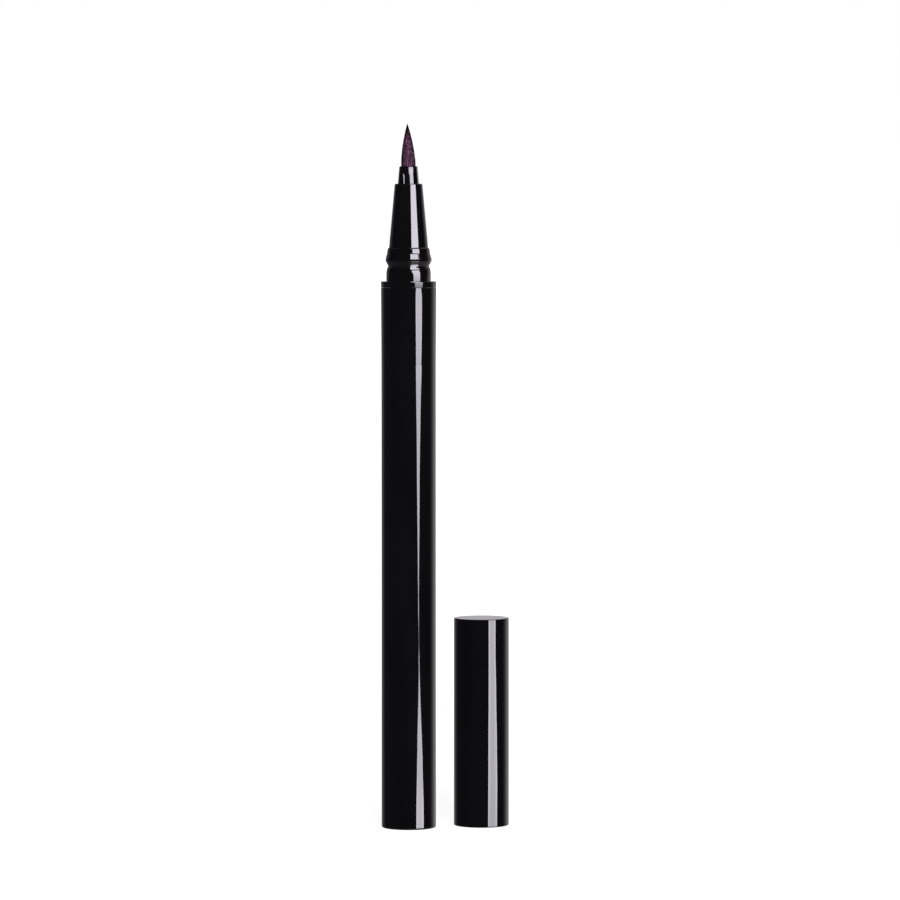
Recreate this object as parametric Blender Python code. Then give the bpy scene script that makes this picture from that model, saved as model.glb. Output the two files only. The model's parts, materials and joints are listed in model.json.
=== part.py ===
"""Liquid eyeliner pen with free ink, standing on its end beside its cap.

Units are metres and +Z is up. The pen stands on the world origin with its brush at the top,
and the cap stands mouth down beside it on the same plane. Heights on the pen are measured
from its foot and heights on the cap are measured from its mouth.
"""

import math

import bmesh
import bpy
import numpy as np
from mathutils import Vector
from mathutils.geometry import delaunay_2d_cdt

MM = 0.001

# Clearances
SEAT_GAP = 0.05 * MM
FIT_GAP = 0.05 * MM
SLIDE_GAP = 0.10 * MM
CUT_OVERRUN = 1.0 * MM
WELD = 0.00001 * MM

# Barrel
BARREL_LENGTH = 98.6 * MM
BARREL_RADIUS = 4.95 * MM
BARREL_WALL = 1.3 * MM
BARREL_FOOT_ROUND = 0.3 * MM
BARREL_MOUTH_FLARE = 0.08 * MM
BARREL_FLARE_LENGTH = 14.0 * MM
BARREL_MOUTH_ROUND = 0.1 * MM

# Seal rings, one on the tail plug and one on the front section
O_RING_SECTION_RADIUS = 0.32 * MM
O_RING_GROOVE_DEPTH = 0.72 * MM
O_RING_GROOVE_WIDTH = 1.0 * MM

# Tail plug
PLUG_LENGTH = 7.0 * MM
PLUG_FLOOR = 1.4 * MM
PLUG_CUP_RADIUS = 2.3 * MM
PLUG_GROOVE_HEIGHT = 4.6 * MM
PLUG_LEAD_IN = 0.35 * MM

# Mixing balls
BALL_RADIUS = 2.0 * MM

# Front section: sleeve in the barrel, then flange, collar, groove, snap ring and cone
SLEEVE_LENGTH = 24.5 * MM
SLEEVE_BORE_RADIUS = 2.95 * MM
SLEEVE_LEAD_IN = 0.25 * MM
FRONT_O_RING_BELOW_MOUTH = 1.3 * MM
COLLECTOR_SEAT_BELOW_GROOVE = 0.7 * MM
FLANGE_RADIUS = 5.02 * MM
FLANGE_THICKNESS = 1.12 * MM
FLANGE_SLOPE = 0.05 * MM
FLANGE_EDGE_ROUND = 0.12 * MM
FLANGE_EDGE_TURN = 80.0
COLLAR_RADIUS = 4.06 * MM
COLLAR_LENGTH = 1.63 * MM
GROOVE_RADIUS = 3.70 * MM
GROOVE_RISE = 1.05 * MM
CREST_RADIUS = 4.21 * MM
CREST_RISE = 0.98 * MM
RING_WAIST_RADIUS = 3.97 * MM
RING_WAIST_RISE = 0.75 * MM
SHOULDER_RADIUS = 3.81 * MM
SHOULDER_RISE = 1.48 * MM
SHOULDER_ROUND = 0.2 * MM
CONE_BASE_RADIUS = 3.56 * MM
CONE_BASE_STEP = 0.12 * MM
CONE_TOP_RADIUS = 2.51 * MM
CONE_LENGTH = 11.67 * MM
CONE_TOP_ROUND = 0.2 * MM
NOSE_TAIL_BORE_RADIUS = 2.3 * MM
NOSE_BORE_RADIUS = 2.0 * MM
NOSE_BORE_LENGTH = 7.3 * MM

# Ink collector
FIN_COUNT = 12
FIN_THICKNESS = 0.55 * MM
COLLECTOR_CORE_RADIUS = 1.9 * MM
COLLECTOR_END_GAP = 0.6 * MM
COLLECTOR_SLOT_WIDTH = 0.5 * MM
COLLECTOR_SLOT_FLOOR_RADIUS = 1.55 * MM

# Feed core and its tube
FEED_CORE_RADIUS = 0.8 * MM
FEED_CORE_TIP = 0.4 * MM
FEED_TUBE_WALL = 0.25 * MM
FEED_TUBE_INSET = 1.5 * MM

# Brush nozzle
NOZZLE_TAIL_LENGTH = 5.0 * MM
NOZZLE_NOSE_LENGTH = 3.17 * MM
NOZZLE_MOUTH_RADIUS = 1.66 * MM
NOZZLE_MOUTH_ROUND = 0.14 * MM
NOZZLE_BORE_RADIUS = 1.395 * MM
FLUTE_COUNT = 5
FLUTE_WIDTH = 0.8 * MM
FLUTE_FLOOR_RADIUS = 1.56 * MM
FLUTE_END_BELOW_MOUTH = 1.25 * MM
FLUTE_TURN = math.radians(241.0)

# Brush
BRUSH_LENGTH = 7.83 * MM
BRUSH_OUTLINE_POWER = 1.8
BRUSH_ROOT_LENGTH = 4.0 * MM
BRUSH_ROOT_RECESS = 0.45 * MM
STRAND_RINGS = 10
STRANDS_ADDED_PER_RING = 6
STRAND_SIDES = 3
STRAND_FILL_SHARE = 0.44
STRAND_EDGE_SHARE = 0.12
STRAND_LEVEL_SHARES = (0.22, 0.62)
STRAND_END_SHARE = 0.93
STRAND_END_SCATTER_SHARE = 0.06
STRAND_SEED = 7
ROOT_FILL_TOLERANCE_SHARE = 1e-9
ROOT_COLLAR_LENGTH = 4.5 * MM

# Cap
CAP_LENGTH = 38.1 * MM
CAP_RADIUS = 5.02 * MM
CAP_WALL = 0.79 * MM
CAP_TOP_THICKNESS = 1.2 * MM
CAP_TOP_ROUND = 0.22 * MM
CAP_MOUTH_ROUND = 0.15 * MM
CAP_MOUTH_LEAD_IN = 0.15 * MM
SNAP_OVERLAP = 0.18 * MM
SNAP_BEAD_HALF_LENGTH = 0.6 * MM
CAP_AXIS_X = 13.28 * MM
CAP_AXIS_Y = 3.6 * MM

# Inner cap, its seal, its retainer ring and its spring
INNER_CAP_STROKE = 1.5 * MM
SEAL_RADIUS = 3.33 * MM
SEAL_WALL = 0.4 * MM
SEAL_LENGTH = 1.5 * MM
RETAINER_THICKNESS = 1.0 * MM
RETAINER_CLEARANCE = 0.13 * MM
SPRING_ROOM = 6.9 * MM
INNER_CAP_TOP_THICKNESS = 1.0 * MM
INNER_CAP_WALL = 0.55 * MM
GUIDE_BAND_LENGTH = 2.4 * MM
GUIDE_BAND_STAND_OUT = 0.3 * MM
SPRING_BOSS_CLEARANCE = 0.25 * MM
SPRING_BOSS_HEIGHT = 1.0 * MM
SPRING_WIRE_RADIUS = 0.22 * MM
SPRING_COIL_RADIUS = 2.9 * MM
SPRING_CURLS = 5
SPRING_POINTS_PER_CURL = 10
SPRING_GAP_SAMPLES = 7

# Facets
ROUND_SIDES = 36
INNER_SIDES = 24
O_RING_SIDES = 6
BALL_SIDES = 16
ARC_STEPS = 3
SHARP_EDGE_TURN = math.radians(30.0)

# Heights and radii that follow from the sizes above
BARREL_BORE_RADIUS = BARREL_RADIUS - BARREL_WALL
O_RING_CENTRE_RADIUS = BARREL_BORE_RADIUS - FIT_GAP - O_RING_SECTION_RADIUS
FRONT_O_RING_LEVEL = BARREL_LENGTH - FRONT_O_RING_BELOW_MOUTH
SLEEVE_FOOT = BARREL_LENGTH - SLEEVE_LENGTH
FLANGE_FOOT = BARREL_LENGTH + SEAT_GAP
FLANGE_TOP = FLANGE_FOOT + FLANGE_THICKNESS
COLLAR_TOP = FLANGE_TOP + COLLAR_LENGTH
GROOVE_LEVEL = COLLAR_TOP + GROOVE_RISE
CREST_LEVEL = GROOVE_LEVEL + CREST_RISE
SHOULDER_TOP = CREST_LEVEL + RING_WAIST_RISE + SHOULDER_RISE
CONE_BASE = SHOULDER_TOP + CONE_BASE_STEP
CONE_TOP = CONE_BASE + CONE_LENGTH
CONE_SLOPE = (CONE_BASE_RADIUS - CONE_TOP_RADIUS) / CONE_LENGTH
NOSE_STEP = CONE_TOP - NOSE_BORE_LENGTH
NOZZLE_FOOT = NOSE_STEP - SEAT_GAP - NOZZLE_TAIL_LENGTH
NOZZLE_MOUTH = CONE_TOP + NOZZLE_NOSE_LENGTH
BRUSH_RADIUS = NOZZLE_BORE_RADIUS - FIT_GAP
COLLECTOR_SEAT = FRONT_O_RING_LEVEL - O_RING_GROOVE_WIDTH / 2.0 - COLLECTOR_SEAT_BELOW_GROOVE
COLLECTOR_TOP = COLLECTOR_SEAT - SEAT_GAP
COLLECTOR_FOOT = SLEEVE_FOOT + COLLECTOR_END_GAP
SPIGOT_TOP = NOZZLE_FOOT - SEAT_GAP
FEED_TUBE_RADIUS = FEED_CORE_RADIUS + FIT_GAP + FEED_TUBE_WALL
COLLECTOR_BORE_RADIUS = FEED_TUBE_RADIUS + FIT_GAP
FEED_CORE_TOP = NOZZLE_MOUTH - BRUSH_ROOT_RECESS - BRUSH_ROOT_LENGTH - SEAT_GAP
ROOT_COLLAR_FOOT = FEED_CORE_TOP - ROOT_COLLAR_LENGTH
CAP_BORE_RADIUS = CAP_RADIUS - CAP_WALL
CAP_CEILING = CAP_LENGTH - CAP_TOP_THICKNESS
INNER_CAP_TOP_HEIGHT = CAP_CEILING - SPRING_ROOM
SEAL_LANDING = CONE_BASE + (CONE_BASE_RADIUS - SEAL_RADIUS) / CONE_SLOPE - FLANGE_TOP
INNER_CAP_FOOT = SEAL_LANDING - INNER_CAP_STROKE


def arc(centre, radius, start, end, steps=ARC_STEPS):
    """Points along an arc in the turning plane, given in degrees from the outward direction."""
    angles = np.radians(np.linspace(start, end, steps + 1))
    across, up = centre
    return [(across + radius * math.cos(a), up + radius * math.sin(a)) for a in angles]


def material(name, colour, roughness, metallic=0.0):
    """A plain Principled material."""
    made = bpy.data.materials.new(name)
    made.use_nodes = True
    shader = made.node_tree.nodes["Principled BSDF"]
    shader.inputs["Base Color"].default_value = (*colour, 1.0)
    shader.inputs["Roughness"].default_value = roughness
    shader.inputs["Metallic"].default_value = metallic
    made.diffuse_color = (*colour, 1.0)
    return made


def empty(name, location, parent=None):
    """An empty that carries the pieces of one moving group."""
    holder = bpy.data.objects.new(name, None)
    holder.empty_display_size = BARREL_RADIUS
    holder.location = location
    holder.parent = parent
    bpy.context.collection.objects.link(holder)
    return holder


def add_object(name, data, finish, parent, location=(0.0, 0.0, 0.0)):
    """Links a mesh or curve as one named piece of the product."""
    piece = bpy.data.objects.new(name, data)
    data.materials.append(finish)
    piece.parent = parent
    piece.location = location
    bpy.context.collection.objects.link(piece)
    return piece


def mesh_from(name, bm):
    """Turns an edited mesh into mesh data with outward faces and smooth round sides."""
    bmesh.ops.recalc_face_normals(bm, faces=bm.faces[:])
    mesh = bpy.data.meshes.new(name)
    bm.to_mesh(mesh)
    bm.free()
    mesh.shade_smooth()
    mesh.set_sharp_from_angle(angle=SHARP_EDGE_TURN)
    return mesh


def turned_mesh(name, outline, sides):
    """Spins a closed outline of (radius, height) points round the upright axis."""
    bm = bmesh.new()
    corners = [bm.verts.new((radius, 0.0, height)) for radius, height in outline]
    edges = []
    for first, second in zip(corners, corners[1:] + corners[:1]):
        if first.co.x > 0.0 or second.co.x > 0.0:
            edges.append(bm.edges.new((first, second)))
    bmesh.ops.spin(
        bm,
        geom=corners + edges,
        cent=(0.0, 0.0, 0.0),
        axis=(0.0, 0.0, 1.0),
        angle=math.tau,
        steps=sides,
        use_merge=True,
    )
    bmesh.ops.remove_doubles(bm, verts=bm.verts[:], dist=WELD)
    return mesh_from(name, bm)


def turned(name, outline, finish, parent, sides=ROUND_SIDES):
    """One turned piece."""
    return add_object(name, turned_mesh(name, outline, sides), finish, parent)


def box_cutter(name, width, inner, outer, foot, top, turn, parent):
    """A slot cutter that reaches outwards from the axis at the given turn."""
    bm = bmesh.new()
    half = width / 2.0
    along = Vector((math.cos(turn), math.sin(turn), 0.0))
    aside = Vector((-along.y, along.x, 0.0))
    ends = []
    for height in (foot, top):
        level = Vector((0.0, 0.0, height))
        corners = [
            inner * along - half * aside,
            outer * along - half * aside,
            outer * along + half * aside,
            inner * along + half * aside,
        ]
        ends.append([bm.verts.new(corner + level) for corner in corners])
    low, high = ends
    bm.faces.new(low[::-1])
    bm.faces.new(high)
    for index in range(4):
        after = (index + 1) % 4
        bm.faces.new((low[index], low[after], high[after], high[index]))
    cutter = bpy.data.objects.new(name, mesh_from(name, bm))
    cutter.parent = parent
    cutter.hide_render = True
    cutter.display_type = "WIRE"
    bpy.context.collection.objects.link(cutter)
    return cutter


def cut(piece, cutter):
    """Cuts one shape out of a piece."""
    step = piece.modifiers.new(cutter.name, "BOOLEAN")
    step.operation = "DIFFERENCE"
    step.solver = "EXACT"
    step.object = cutter


def make_barrel(finish, parent):
    """Straight tube, open at both ends, with a faint flare towards its mouth."""
    flare_start = BARREL_LENGTH - BARREL_FLARE_LENGTH
    mouth_radius = BARREL_RADIUS + BARREL_MOUTH_FLARE
    foot_centre = (BARREL_RADIUS - BARREL_FOOT_ROUND, BARREL_FOOT_ROUND)
    mouth_centre = (mouth_radius - BARREL_MOUTH_ROUND, BARREL_LENGTH - BARREL_MOUTH_ROUND)
    outline = [(BARREL_BORE_RADIUS, 0.0)]
    outline += arc(foot_centre, BARREL_FOOT_ROUND, -90.0, 0.0)
    outline += [(BARREL_RADIUS, flare_start)]
    outline += arc(mouth_centre, BARREL_MOUTH_ROUND, 0.0, 90.0)
    outline += [(BARREL_BORE_RADIUS, BARREL_LENGTH)]
    return turned("barrel", outline, finish, parent)


def groove_outline(radius, level):
    """The four corners of a seal ring groove in a round wall, from its foot up."""
    floor = radius - O_RING_GROOVE_DEPTH
    half = O_RING_GROOVE_WIDTH / 2.0
    return [
        (radius, level - half),
        (floor, level - half),
        (floor, level + half),
        (radius, level + half),
    ]


def make_tail_plug(finish, parent):
    """Cup pressed into the foot of the barrel, flush with its end."""
    radius = BARREL_BORE_RADIUS - FIT_GAP
    outline = [(0.0, 0.0), (radius, 0.0)]
    outline += groove_outline(radius, PLUG_GROOVE_HEIGHT)
    outline += [
        (radius, PLUG_LENGTH - PLUG_LEAD_IN),
        (radius - PLUG_LEAD_IN, PLUG_LENGTH),
        (PLUG_CUP_RADIUS, PLUG_LENGTH),
        (PLUG_CUP_RADIUS, PLUG_FLOOR),
        (0.0, PLUG_FLOOR),
    ]
    return turned("tail_plug", outline, finish, parent)


def make_o_ring(name, level, finish, parent):
    """Rubber ring squeezed between its groove and the bore of the barrel."""
    corners = np.linspace(0.0, 360.0, O_RING_SIDES + 1)[:-1]
    outline = []
    for corner in np.radians(corners):
        radius = O_RING_CENTRE_RADIUS + O_RING_SECTION_RADIUS * math.cos(corner)
        outline.append((radius, level + O_RING_SECTION_RADIUS * math.sin(corner)))
    return turned(name, outline, finish, parent)


def make_front_section(finish, parent):
    """Sleeve, flange, collar, groove, snap ring and cone, moulded as one piece."""
    sleeve_radius = BARREL_BORE_RADIUS - FIT_GAP
    flange_edge = (FLANGE_RADIUS - FLANGE_EDGE_ROUND, FLANGE_TOP - FLANGE_SLOPE - FLANGE_EDGE_ROUND)
    shoulder_edge = (SHOULDER_RADIUS - SHOULDER_ROUND, SHOULDER_TOP - SHOULDER_ROUND)
    tip_edge = (CONE_TOP_RADIUS - CONE_TOP_ROUND, CONE_TOP - CONE_TOP_ROUND)
    outline = [
        (SLEEVE_BORE_RADIUS, SLEEVE_FOOT),
        (sleeve_radius - SLEEVE_LEAD_IN, SLEEVE_FOOT),
        (sleeve_radius, SLEEVE_FOOT + SLEEVE_LEAD_IN),
    ]
    outline += groove_outline(sleeve_radius, FRONT_O_RING_LEVEL)
    outline += [(sleeve_radius, FLANGE_FOOT), (FLANGE_RADIUS, FLANGE_FOOT)]
    outline += arc(flange_edge, FLANGE_EDGE_ROUND, 0.0, FLANGE_EDGE_TURN)
    outline += [
        (COLLAR_RADIUS, FLANGE_TOP),
        (COLLAR_RADIUS, COLLAR_TOP),
        (GROOVE_RADIUS, GROOVE_LEVEL),
        (CREST_RADIUS, CREST_LEVEL),
        (RING_WAIST_RADIUS, CREST_LEVEL + RING_WAIST_RISE),
    ]
    outline += arc(shoulder_edge, SHOULDER_ROUND, 0.0, 90.0)
    outline += [(CONE_BASE_RADIUS, CONE_BASE)]
    outline += arc(tip_edge, CONE_TOP_ROUND, 0.0, 90.0)
    outline += [
        (NOSE_BORE_RADIUS, CONE_TOP),
        (NOSE_BORE_RADIUS, NOSE_STEP),
        (NOSE_TAIL_BORE_RADIUS, NOSE_STEP),
        (NOSE_TAIL_BORE_RADIUS, COLLECTOR_SEAT),
        (SLEEVE_BORE_RADIUS, COLLECTOR_SEAT),
    ]
    return turned("front_section", outline, finish, parent)


def make_collector(finish, parent):
    """Stack of fins round a bored core, with a spigot that carries the nozzle and an air slot."""
    fin_radius = SLEEVE_BORE_RADIUS - FIT_GAP
    spigot_radius = NOSE_TAIL_BORE_RADIUS - FIT_GAP
    pitch = (COLLECTOR_TOP - COLLECTOR_FOOT - FIN_THICKNESS) / (FIN_COUNT - 1)
    outline = [(COLLECTOR_BORE_RADIUS, COLLECTOR_FOOT)]
    for index in range(FIN_COUNT):
        foot = COLLECTOR_FOOT + index * pitch
        top = foot + FIN_THICKNESS
        if index:
            outline.append((COLLECTOR_CORE_RADIUS, foot))
        outline += [(fin_radius, foot), (fin_radius, top)]
        if index < FIN_COUNT - 1:
            outline.append((COLLECTOR_CORE_RADIUS, top))
    outline += [
        (spigot_radius, COLLECTOR_TOP),
        (spigot_radius, SPIGOT_TOP),
        (COLLECTOR_BORE_RADIUS, SPIGOT_TOP),
    ]
    collector = turned("collector", outline, finish, parent, INNER_SIDES)
    slot = box_cutter(
        "cut_air_slot",
        COLLECTOR_SLOT_WIDTH,
        COLLECTOR_SLOT_FLOOR_RADIUS,
        fin_radius + CUT_OVERRUN,
        COLLECTOR_FOOT - CUT_OVERRUN,
        SPIGOT_TOP + CUT_OVERRUN,
        FLUTE_TURN,
        parent,
    )
    cut(collector, slot)
    return collector


def make_feed_core(finish, parent):
    """Fibre rod that draws ink from the tank to the root of the brush."""
    shoulder = FEED_CORE_RADIUS - FEED_CORE_TIP
    outline = [
        (0.0, COLLECTOR_FOOT),
        (FEED_CORE_RADIUS, COLLECTOR_FOOT),
        (FEED_CORE_RADIUS, FEED_CORE_TOP - FEED_CORE_TIP),
        (shoulder, FEED_CORE_TOP),
        (0.0, FEED_CORE_TOP),
    ]
    return turned("feed_core", outline, finish, parent, INNER_SIDES)


def make_feed_core_tube(finish, parent):
    """Thin tube that keeps the feed core apart from the air round it."""
    foot = COLLECTOR_FOOT + FEED_TUBE_INSET
    top = ROOT_COLLAR_FOOT - SEAT_GAP
    bore = FEED_CORE_RADIUS + FIT_GAP
    outline = [
        (bore, foot),
        (FEED_TUBE_RADIUS, foot),
        (FEED_TUBE_RADIUS, top),
        (bore, top),
    ]
    return turned("feed_core_tube", outline, finish, parent, INNER_SIDES)


def make_brush_nozzle(finish, parent):
    """Tapered nose with a wider tail held behind the step of the front section, and air flutes."""
    tail_radius = NOSE_TAIL_BORE_RADIUS - FIT_GAP
    shank_radius = NOSE_BORE_RADIUS - FIT_GAP
    mouth_edge = (NOZZLE_MOUTH_RADIUS - NOZZLE_MOUTH_ROUND, NOZZLE_MOUTH - NOZZLE_MOUTH_ROUND)
    outline = [
        (NOZZLE_BORE_RADIUS, NOZZLE_FOOT),
        (tail_radius, NOZZLE_FOOT),
        (tail_radius, NOSE_STEP - SEAT_GAP),
        (shank_radius, NOSE_STEP - SEAT_GAP),
        (shank_radius, CONE_TOP),
    ]
    outline += arc(mouth_edge, NOZZLE_MOUTH_ROUND, 0.0, 90.0)
    outline += [(NOZZLE_BORE_RADIUS, NOZZLE_MOUTH)]
    nozzle = turned("brush_nozzle", outline, finish, parent)
    for index in range(FLUTE_COUNT):
        flute = box_cutter(
            f"cut_flute_{index + 1}",
            FLUTE_WIDTH,
            FLUTE_FLOOR_RADIUS,
            tail_radius + CUT_OVERRUN,
            NOZZLE_FOOT - CUT_OVERRUN,
            NOZZLE_MOUTH - FLUTE_END_BELOW_MOUTH,
            FLUTE_TURN + math.tau * index / FLUTE_COUNT,
            parent,
        )
        cut(nozzle, flute)
    return nozzle


def make_brush_root_collar(finish, parent):
    """Ring behind the brush root that centres the tip of the feed core."""
    outer = NOZZLE_BORE_RADIUS - FIT_GAP
    bore = FEED_CORE_RADIUS + FIT_GAP
    top = ROOT_COLLAR_FOOT + ROOT_COLLAR_LENGTH
    outline = [
        (bore, ROOT_COLLAR_FOOT),
        (outer, ROOT_COLLAR_FOOT),
        (outer, top),
        (bore, top),
    ]
    return turned("brush_root_collar", outline, finish, parent, INNER_SIDES)


def brush_outline(height):
    """Radius of the brush at a height above the nozzle's mouth, as a share of its root radius."""
    share = height / BRUSH_LENGTH
    return 1.0 - share**BRUSH_OUTLINE_POWER


def ring_of(radius, count, turn=0.0, centre=(0.0, 0.0)):
    """Evenly spaced flat points on a circle."""
    turns = [turn + math.tau * index / count for index in range(count)]
    middle = Vector(centre)
    return [middle + radius * Vector((math.cos(a), math.sin(a))) for a in turns]


def strand_feet():
    """Feet of the strands on the brush root, in rings of six, twelve, eighteen and so on.

    Each foot is its centre, its corners, its place from the middle out as a share, and a
    seeded scatter between nought and one.
    """
    pitch = BRUSH_RADIUS / (STRAND_RINGS + STRAND_FILL_SHARE + STRAND_EDGE_SHARE)
    draws = np.random.default_rng(STRAND_SEED)
    feet = []
    for ring in range(STRAND_RINGS + 1):
        count = max(STRANDS_ADDED_PER_RING * ring, 1)
        turn = math.pi * ring / STRANDS_ADDED_PER_RING
        for centre in ring_of(ring * pitch, count, turn):
            scatter = float(draws.random())
            size = STRAND_FILL_SHARE * pitch
            corners = ring_of(size, STRAND_SIDES, math.tau * scatter, centre)
            feet.append((centre, corners, ring / STRAND_RINGS, scatter))
    return feet


def lift(bm, points, height):
    """Adds flat points to a mesh at one height."""
    return [bm.verts.new((point.x, point.y, height)) for point in points]


def join_rings(bm, lower, upper):
    """Joins two rings of corners with a band of faces."""
    for index, corner in enumerate(lower):
        after = (index + 1) % len(lower)
        bm.faces.new((corner, lower[after], upper[after], upper[index]))


def fill_root_top(bm, rim, feet):
    """Fills the top of the brush root with triangles round the feet of the strands."""
    loops = [rim] + feet
    corners = [corner for loop in loops for corner in loop]
    owners = [index for index, loop in enumerate(loops) for _ in loop]
    edges = []
    for loop in loops:
        start = len(edges)
        edges += [(start + index, start + (index + 1) % len(loop)) for index in range(len(loop))]
    flat = [corner.co.xy / BRUSH_RADIUS for corner in corners]
    triangles = delaunay_2d_cdt(flat, edges, [], 1, ROOT_FILL_TOLERANCE_SHARE)[2]
    for triangle in triangles:
        touched = {owners[index] for index in triangle}
        if len(touched) > 1 or 0 in touched:
            bm.faces.new([corners[index] for index in triangle])


def grow_strand(bm, foot, base):
    """Draws one strand up from its foot, thinner and closer to the axis as it rises."""
    centre, corners, place_share, scatter = foot
    lower = base
    for share in STRAND_LEVEL_SHARES:
        height = share * BRUSH_LENGTH
        drawn = brush_outline(height)
        upper = lift(bm, [drawn * corner for corner in corners], NOZZLE_MOUTH + height)
        join_rings(bm, lower, upper)
        lower = upper
    drop = 1.0 - STRAND_END_SHARE + STRAND_END_SCATTER_SHARE * scatter
    height = (1.0 - place_share * drop) * BRUSH_LENGTH
    tip = lift(bm, [brush_outline(height) * centre], NOZZLE_MOUTH + height)[0]
    for index, corner in enumerate(lower):
        bm.faces.new((corner, lower[(index + 1) % len(lower)], tip))


def make_brush(finish, parent):
    """Tapered three-sided strands that draw together to a point, fused to their bonded root."""
    root_top = NOZZLE_MOUTH - BRUSH_ROOT_RECESS
    rim_points = ring_of(BRUSH_RADIUS, ROUND_SIDES)
    feet = strand_feet()
    bm = bmesh.new()
    floor = lift(bm, rim_points, root_top - BRUSH_ROOT_LENGTH)
    rim = lift(bm, rim_points, root_top)
    bases = [lift(bm, corners, root_top) for _, corners, _, _ in feet]
    bm.faces.new(floor[::-1])
    join_rings(bm, floor, rim)
    fill_root_top(bm, rim, bases)
    for foot, base in zip(feet, bases):
        grow_strand(bm, foot, base)
    return add_object("brush_bristles", mesh_from("brush_bristles", bm), finish, parent)


def make_mixing_balls(finish, parent):
    """Two steel balls in the ink, resting in the cup of the tail plug."""
    aside = PLUG_CUP_RADIUS - BALL_RADIUS - FIT_GAP
    spacing = 2.0 * BALL_RADIUS + SEAT_GAP
    rise = math.sqrt(spacing**2 - (2.0 * aside) ** 2)
    height = PLUG_FLOOR + SEAT_GAP + BALL_RADIUS
    for number, side in ((1, -1.0), (2, 1.0)):
        axis = empty(f"ball_axis_{number}", (side * aside, 0.0, height), parent)
        bm = bmesh.new()
        bmesh.ops.create_uvsphere(
            bm, u_segments=BALL_SIDES, v_segments=BALL_SIDES // 2, radius=BALL_RADIUS
        )
        name = f"mixing_ball_{number}"
        add_object(name, mesh_from(name, bm), finish, axis)
        height += rise
    top = height - rise + BALL_RADIUS
    print("travel of the mixing balls in mm", round((SLEEVE_FOOT - SEAT_GAP - top) / MM, 3))


def make_cap_shell(finish, parent):
    """Outer shell of the cap, closed at its top, with a snap bead inside its mouth."""
    mouth_edge = (CAP_RADIUS - CAP_MOUTH_ROUND, CAP_MOUTH_ROUND)
    top_edge = (CAP_RADIUS - CAP_TOP_ROUND, CAP_LENGTH - CAP_TOP_ROUND)
    bead_height = GROOVE_LEVEL - FLANGE_TOP
    outline = [(CAP_BORE_RADIUS + CAP_MOUTH_LEAD_IN, 0.0)]
    outline += arc(mouth_edge, CAP_MOUTH_ROUND, -90.0, 0.0)
    outline += arc(top_edge, CAP_TOP_ROUND, 0.0, 90.0)
    outline += [
        (0.0, CAP_LENGTH),
        (0.0, CAP_CEILING),
        (CAP_BORE_RADIUS, CAP_CEILING),
        (CAP_BORE_RADIUS, bead_height + SNAP_BEAD_HALF_LENGTH),
        (CREST_RADIUS - SNAP_OVERLAP, bead_height),
        (CAP_BORE_RADIUS, bead_height - SNAP_BEAD_HALF_LENGTH),
        (CAP_BORE_RADIUS, CAP_MOUTH_LEAD_IN),
    ]
    return turned("cap_shell", outline, finish, parent)


def make_cap_retainer_ring(finish, parent):
    """Ring pressed into the cap, which the inner cap rests on."""
    outer = CAP_BORE_RADIUS - FIT_GAP
    bore = CONE_BASE_RADIUS + RETAINER_CLEARANCE
    top = INNER_CAP_FOOT - SEAT_GAP
    foot = top - RETAINER_THICKNESS
    outline = [
        (bore, foot),
        (outer, foot),
        (outer, top),
        (bore, top),
    ]
    return turned("cap_retainer_ring", outline, finish, parent)


def make_inner_cap(finish, parent):
    """Sliding inner cap with two guide bands, a seat for its seal and a boss for the spring."""
    band_radius = CAP_BORE_RADIUS - SLIDE_GAP
    body_radius = band_radius - GUIDE_BAND_STAND_OUT
    bore = body_radius - INNER_CAP_WALL
    seal_seat = SEAL_RADIUS + SEAL_WALL + FIT_GAP
    seal_top = INNER_CAP_FOOT + SEAL_LENGTH + SEAT_GAP
    ceiling = INNER_CAP_TOP_HEIGHT - INNER_CAP_TOP_THICKNESS
    boss_radius = SPRING_COIL_RADIUS - SPRING_WIRE_RADIUS - SPRING_BOSS_CLEARANCE
    boss_top = INNER_CAP_TOP_HEIGHT + SPRING_BOSS_HEIGHT
    outline = [
        (seal_seat, INNER_CAP_FOOT),
        (band_radius, INNER_CAP_FOOT),
        (band_radius, INNER_CAP_FOOT + GUIDE_BAND_LENGTH),
        (body_radius, INNER_CAP_FOOT + GUIDE_BAND_LENGTH + GUIDE_BAND_STAND_OUT),
        (body_radius, INNER_CAP_TOP_HEIGHT - GUIDE_BAND_LENGTH - GUIDE_BAND_STAND_OUT),
        (band_radius, INNER_CAP_TOP_HEIGHT - GUIDE_BAND_LENGTH),
        (band_radius, INNER_CAP_TOP_HEIGHT),
        (boss_radius, INNER_CAP_TOP_HEIGHT),
        (boss_radius, boss_top),
        (0.0, boss_top),
        (0.0, ceiling),
        (bore, ceiling),
        (bore, seal_top),
        (seal_seat, seal_top),
    ]
    return turned("inner_cap", outline, finish, parent)


def make_inner_cap_seal(finish, parent):
    """Soft ring in the mouth of the inner cap, which closes on the cone of the pen."""
    outline = [
        (SEAL_RADIUS, INNER_CAP_FOOT),
        (SEAL_RADIUS + SEAL_WALL, INNER_CAP_FOOT),
        (SEAL_RADIUS + SEAL_WALL, INNER_CAP_FOOT + SEAL_LENGTH),
        (SEAL_RADIUS, INNER_CAP_FOOT + SEAL_LENGTH),
    ]
    return turned("inner_cap_seal", outline, finish, parent)


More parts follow.
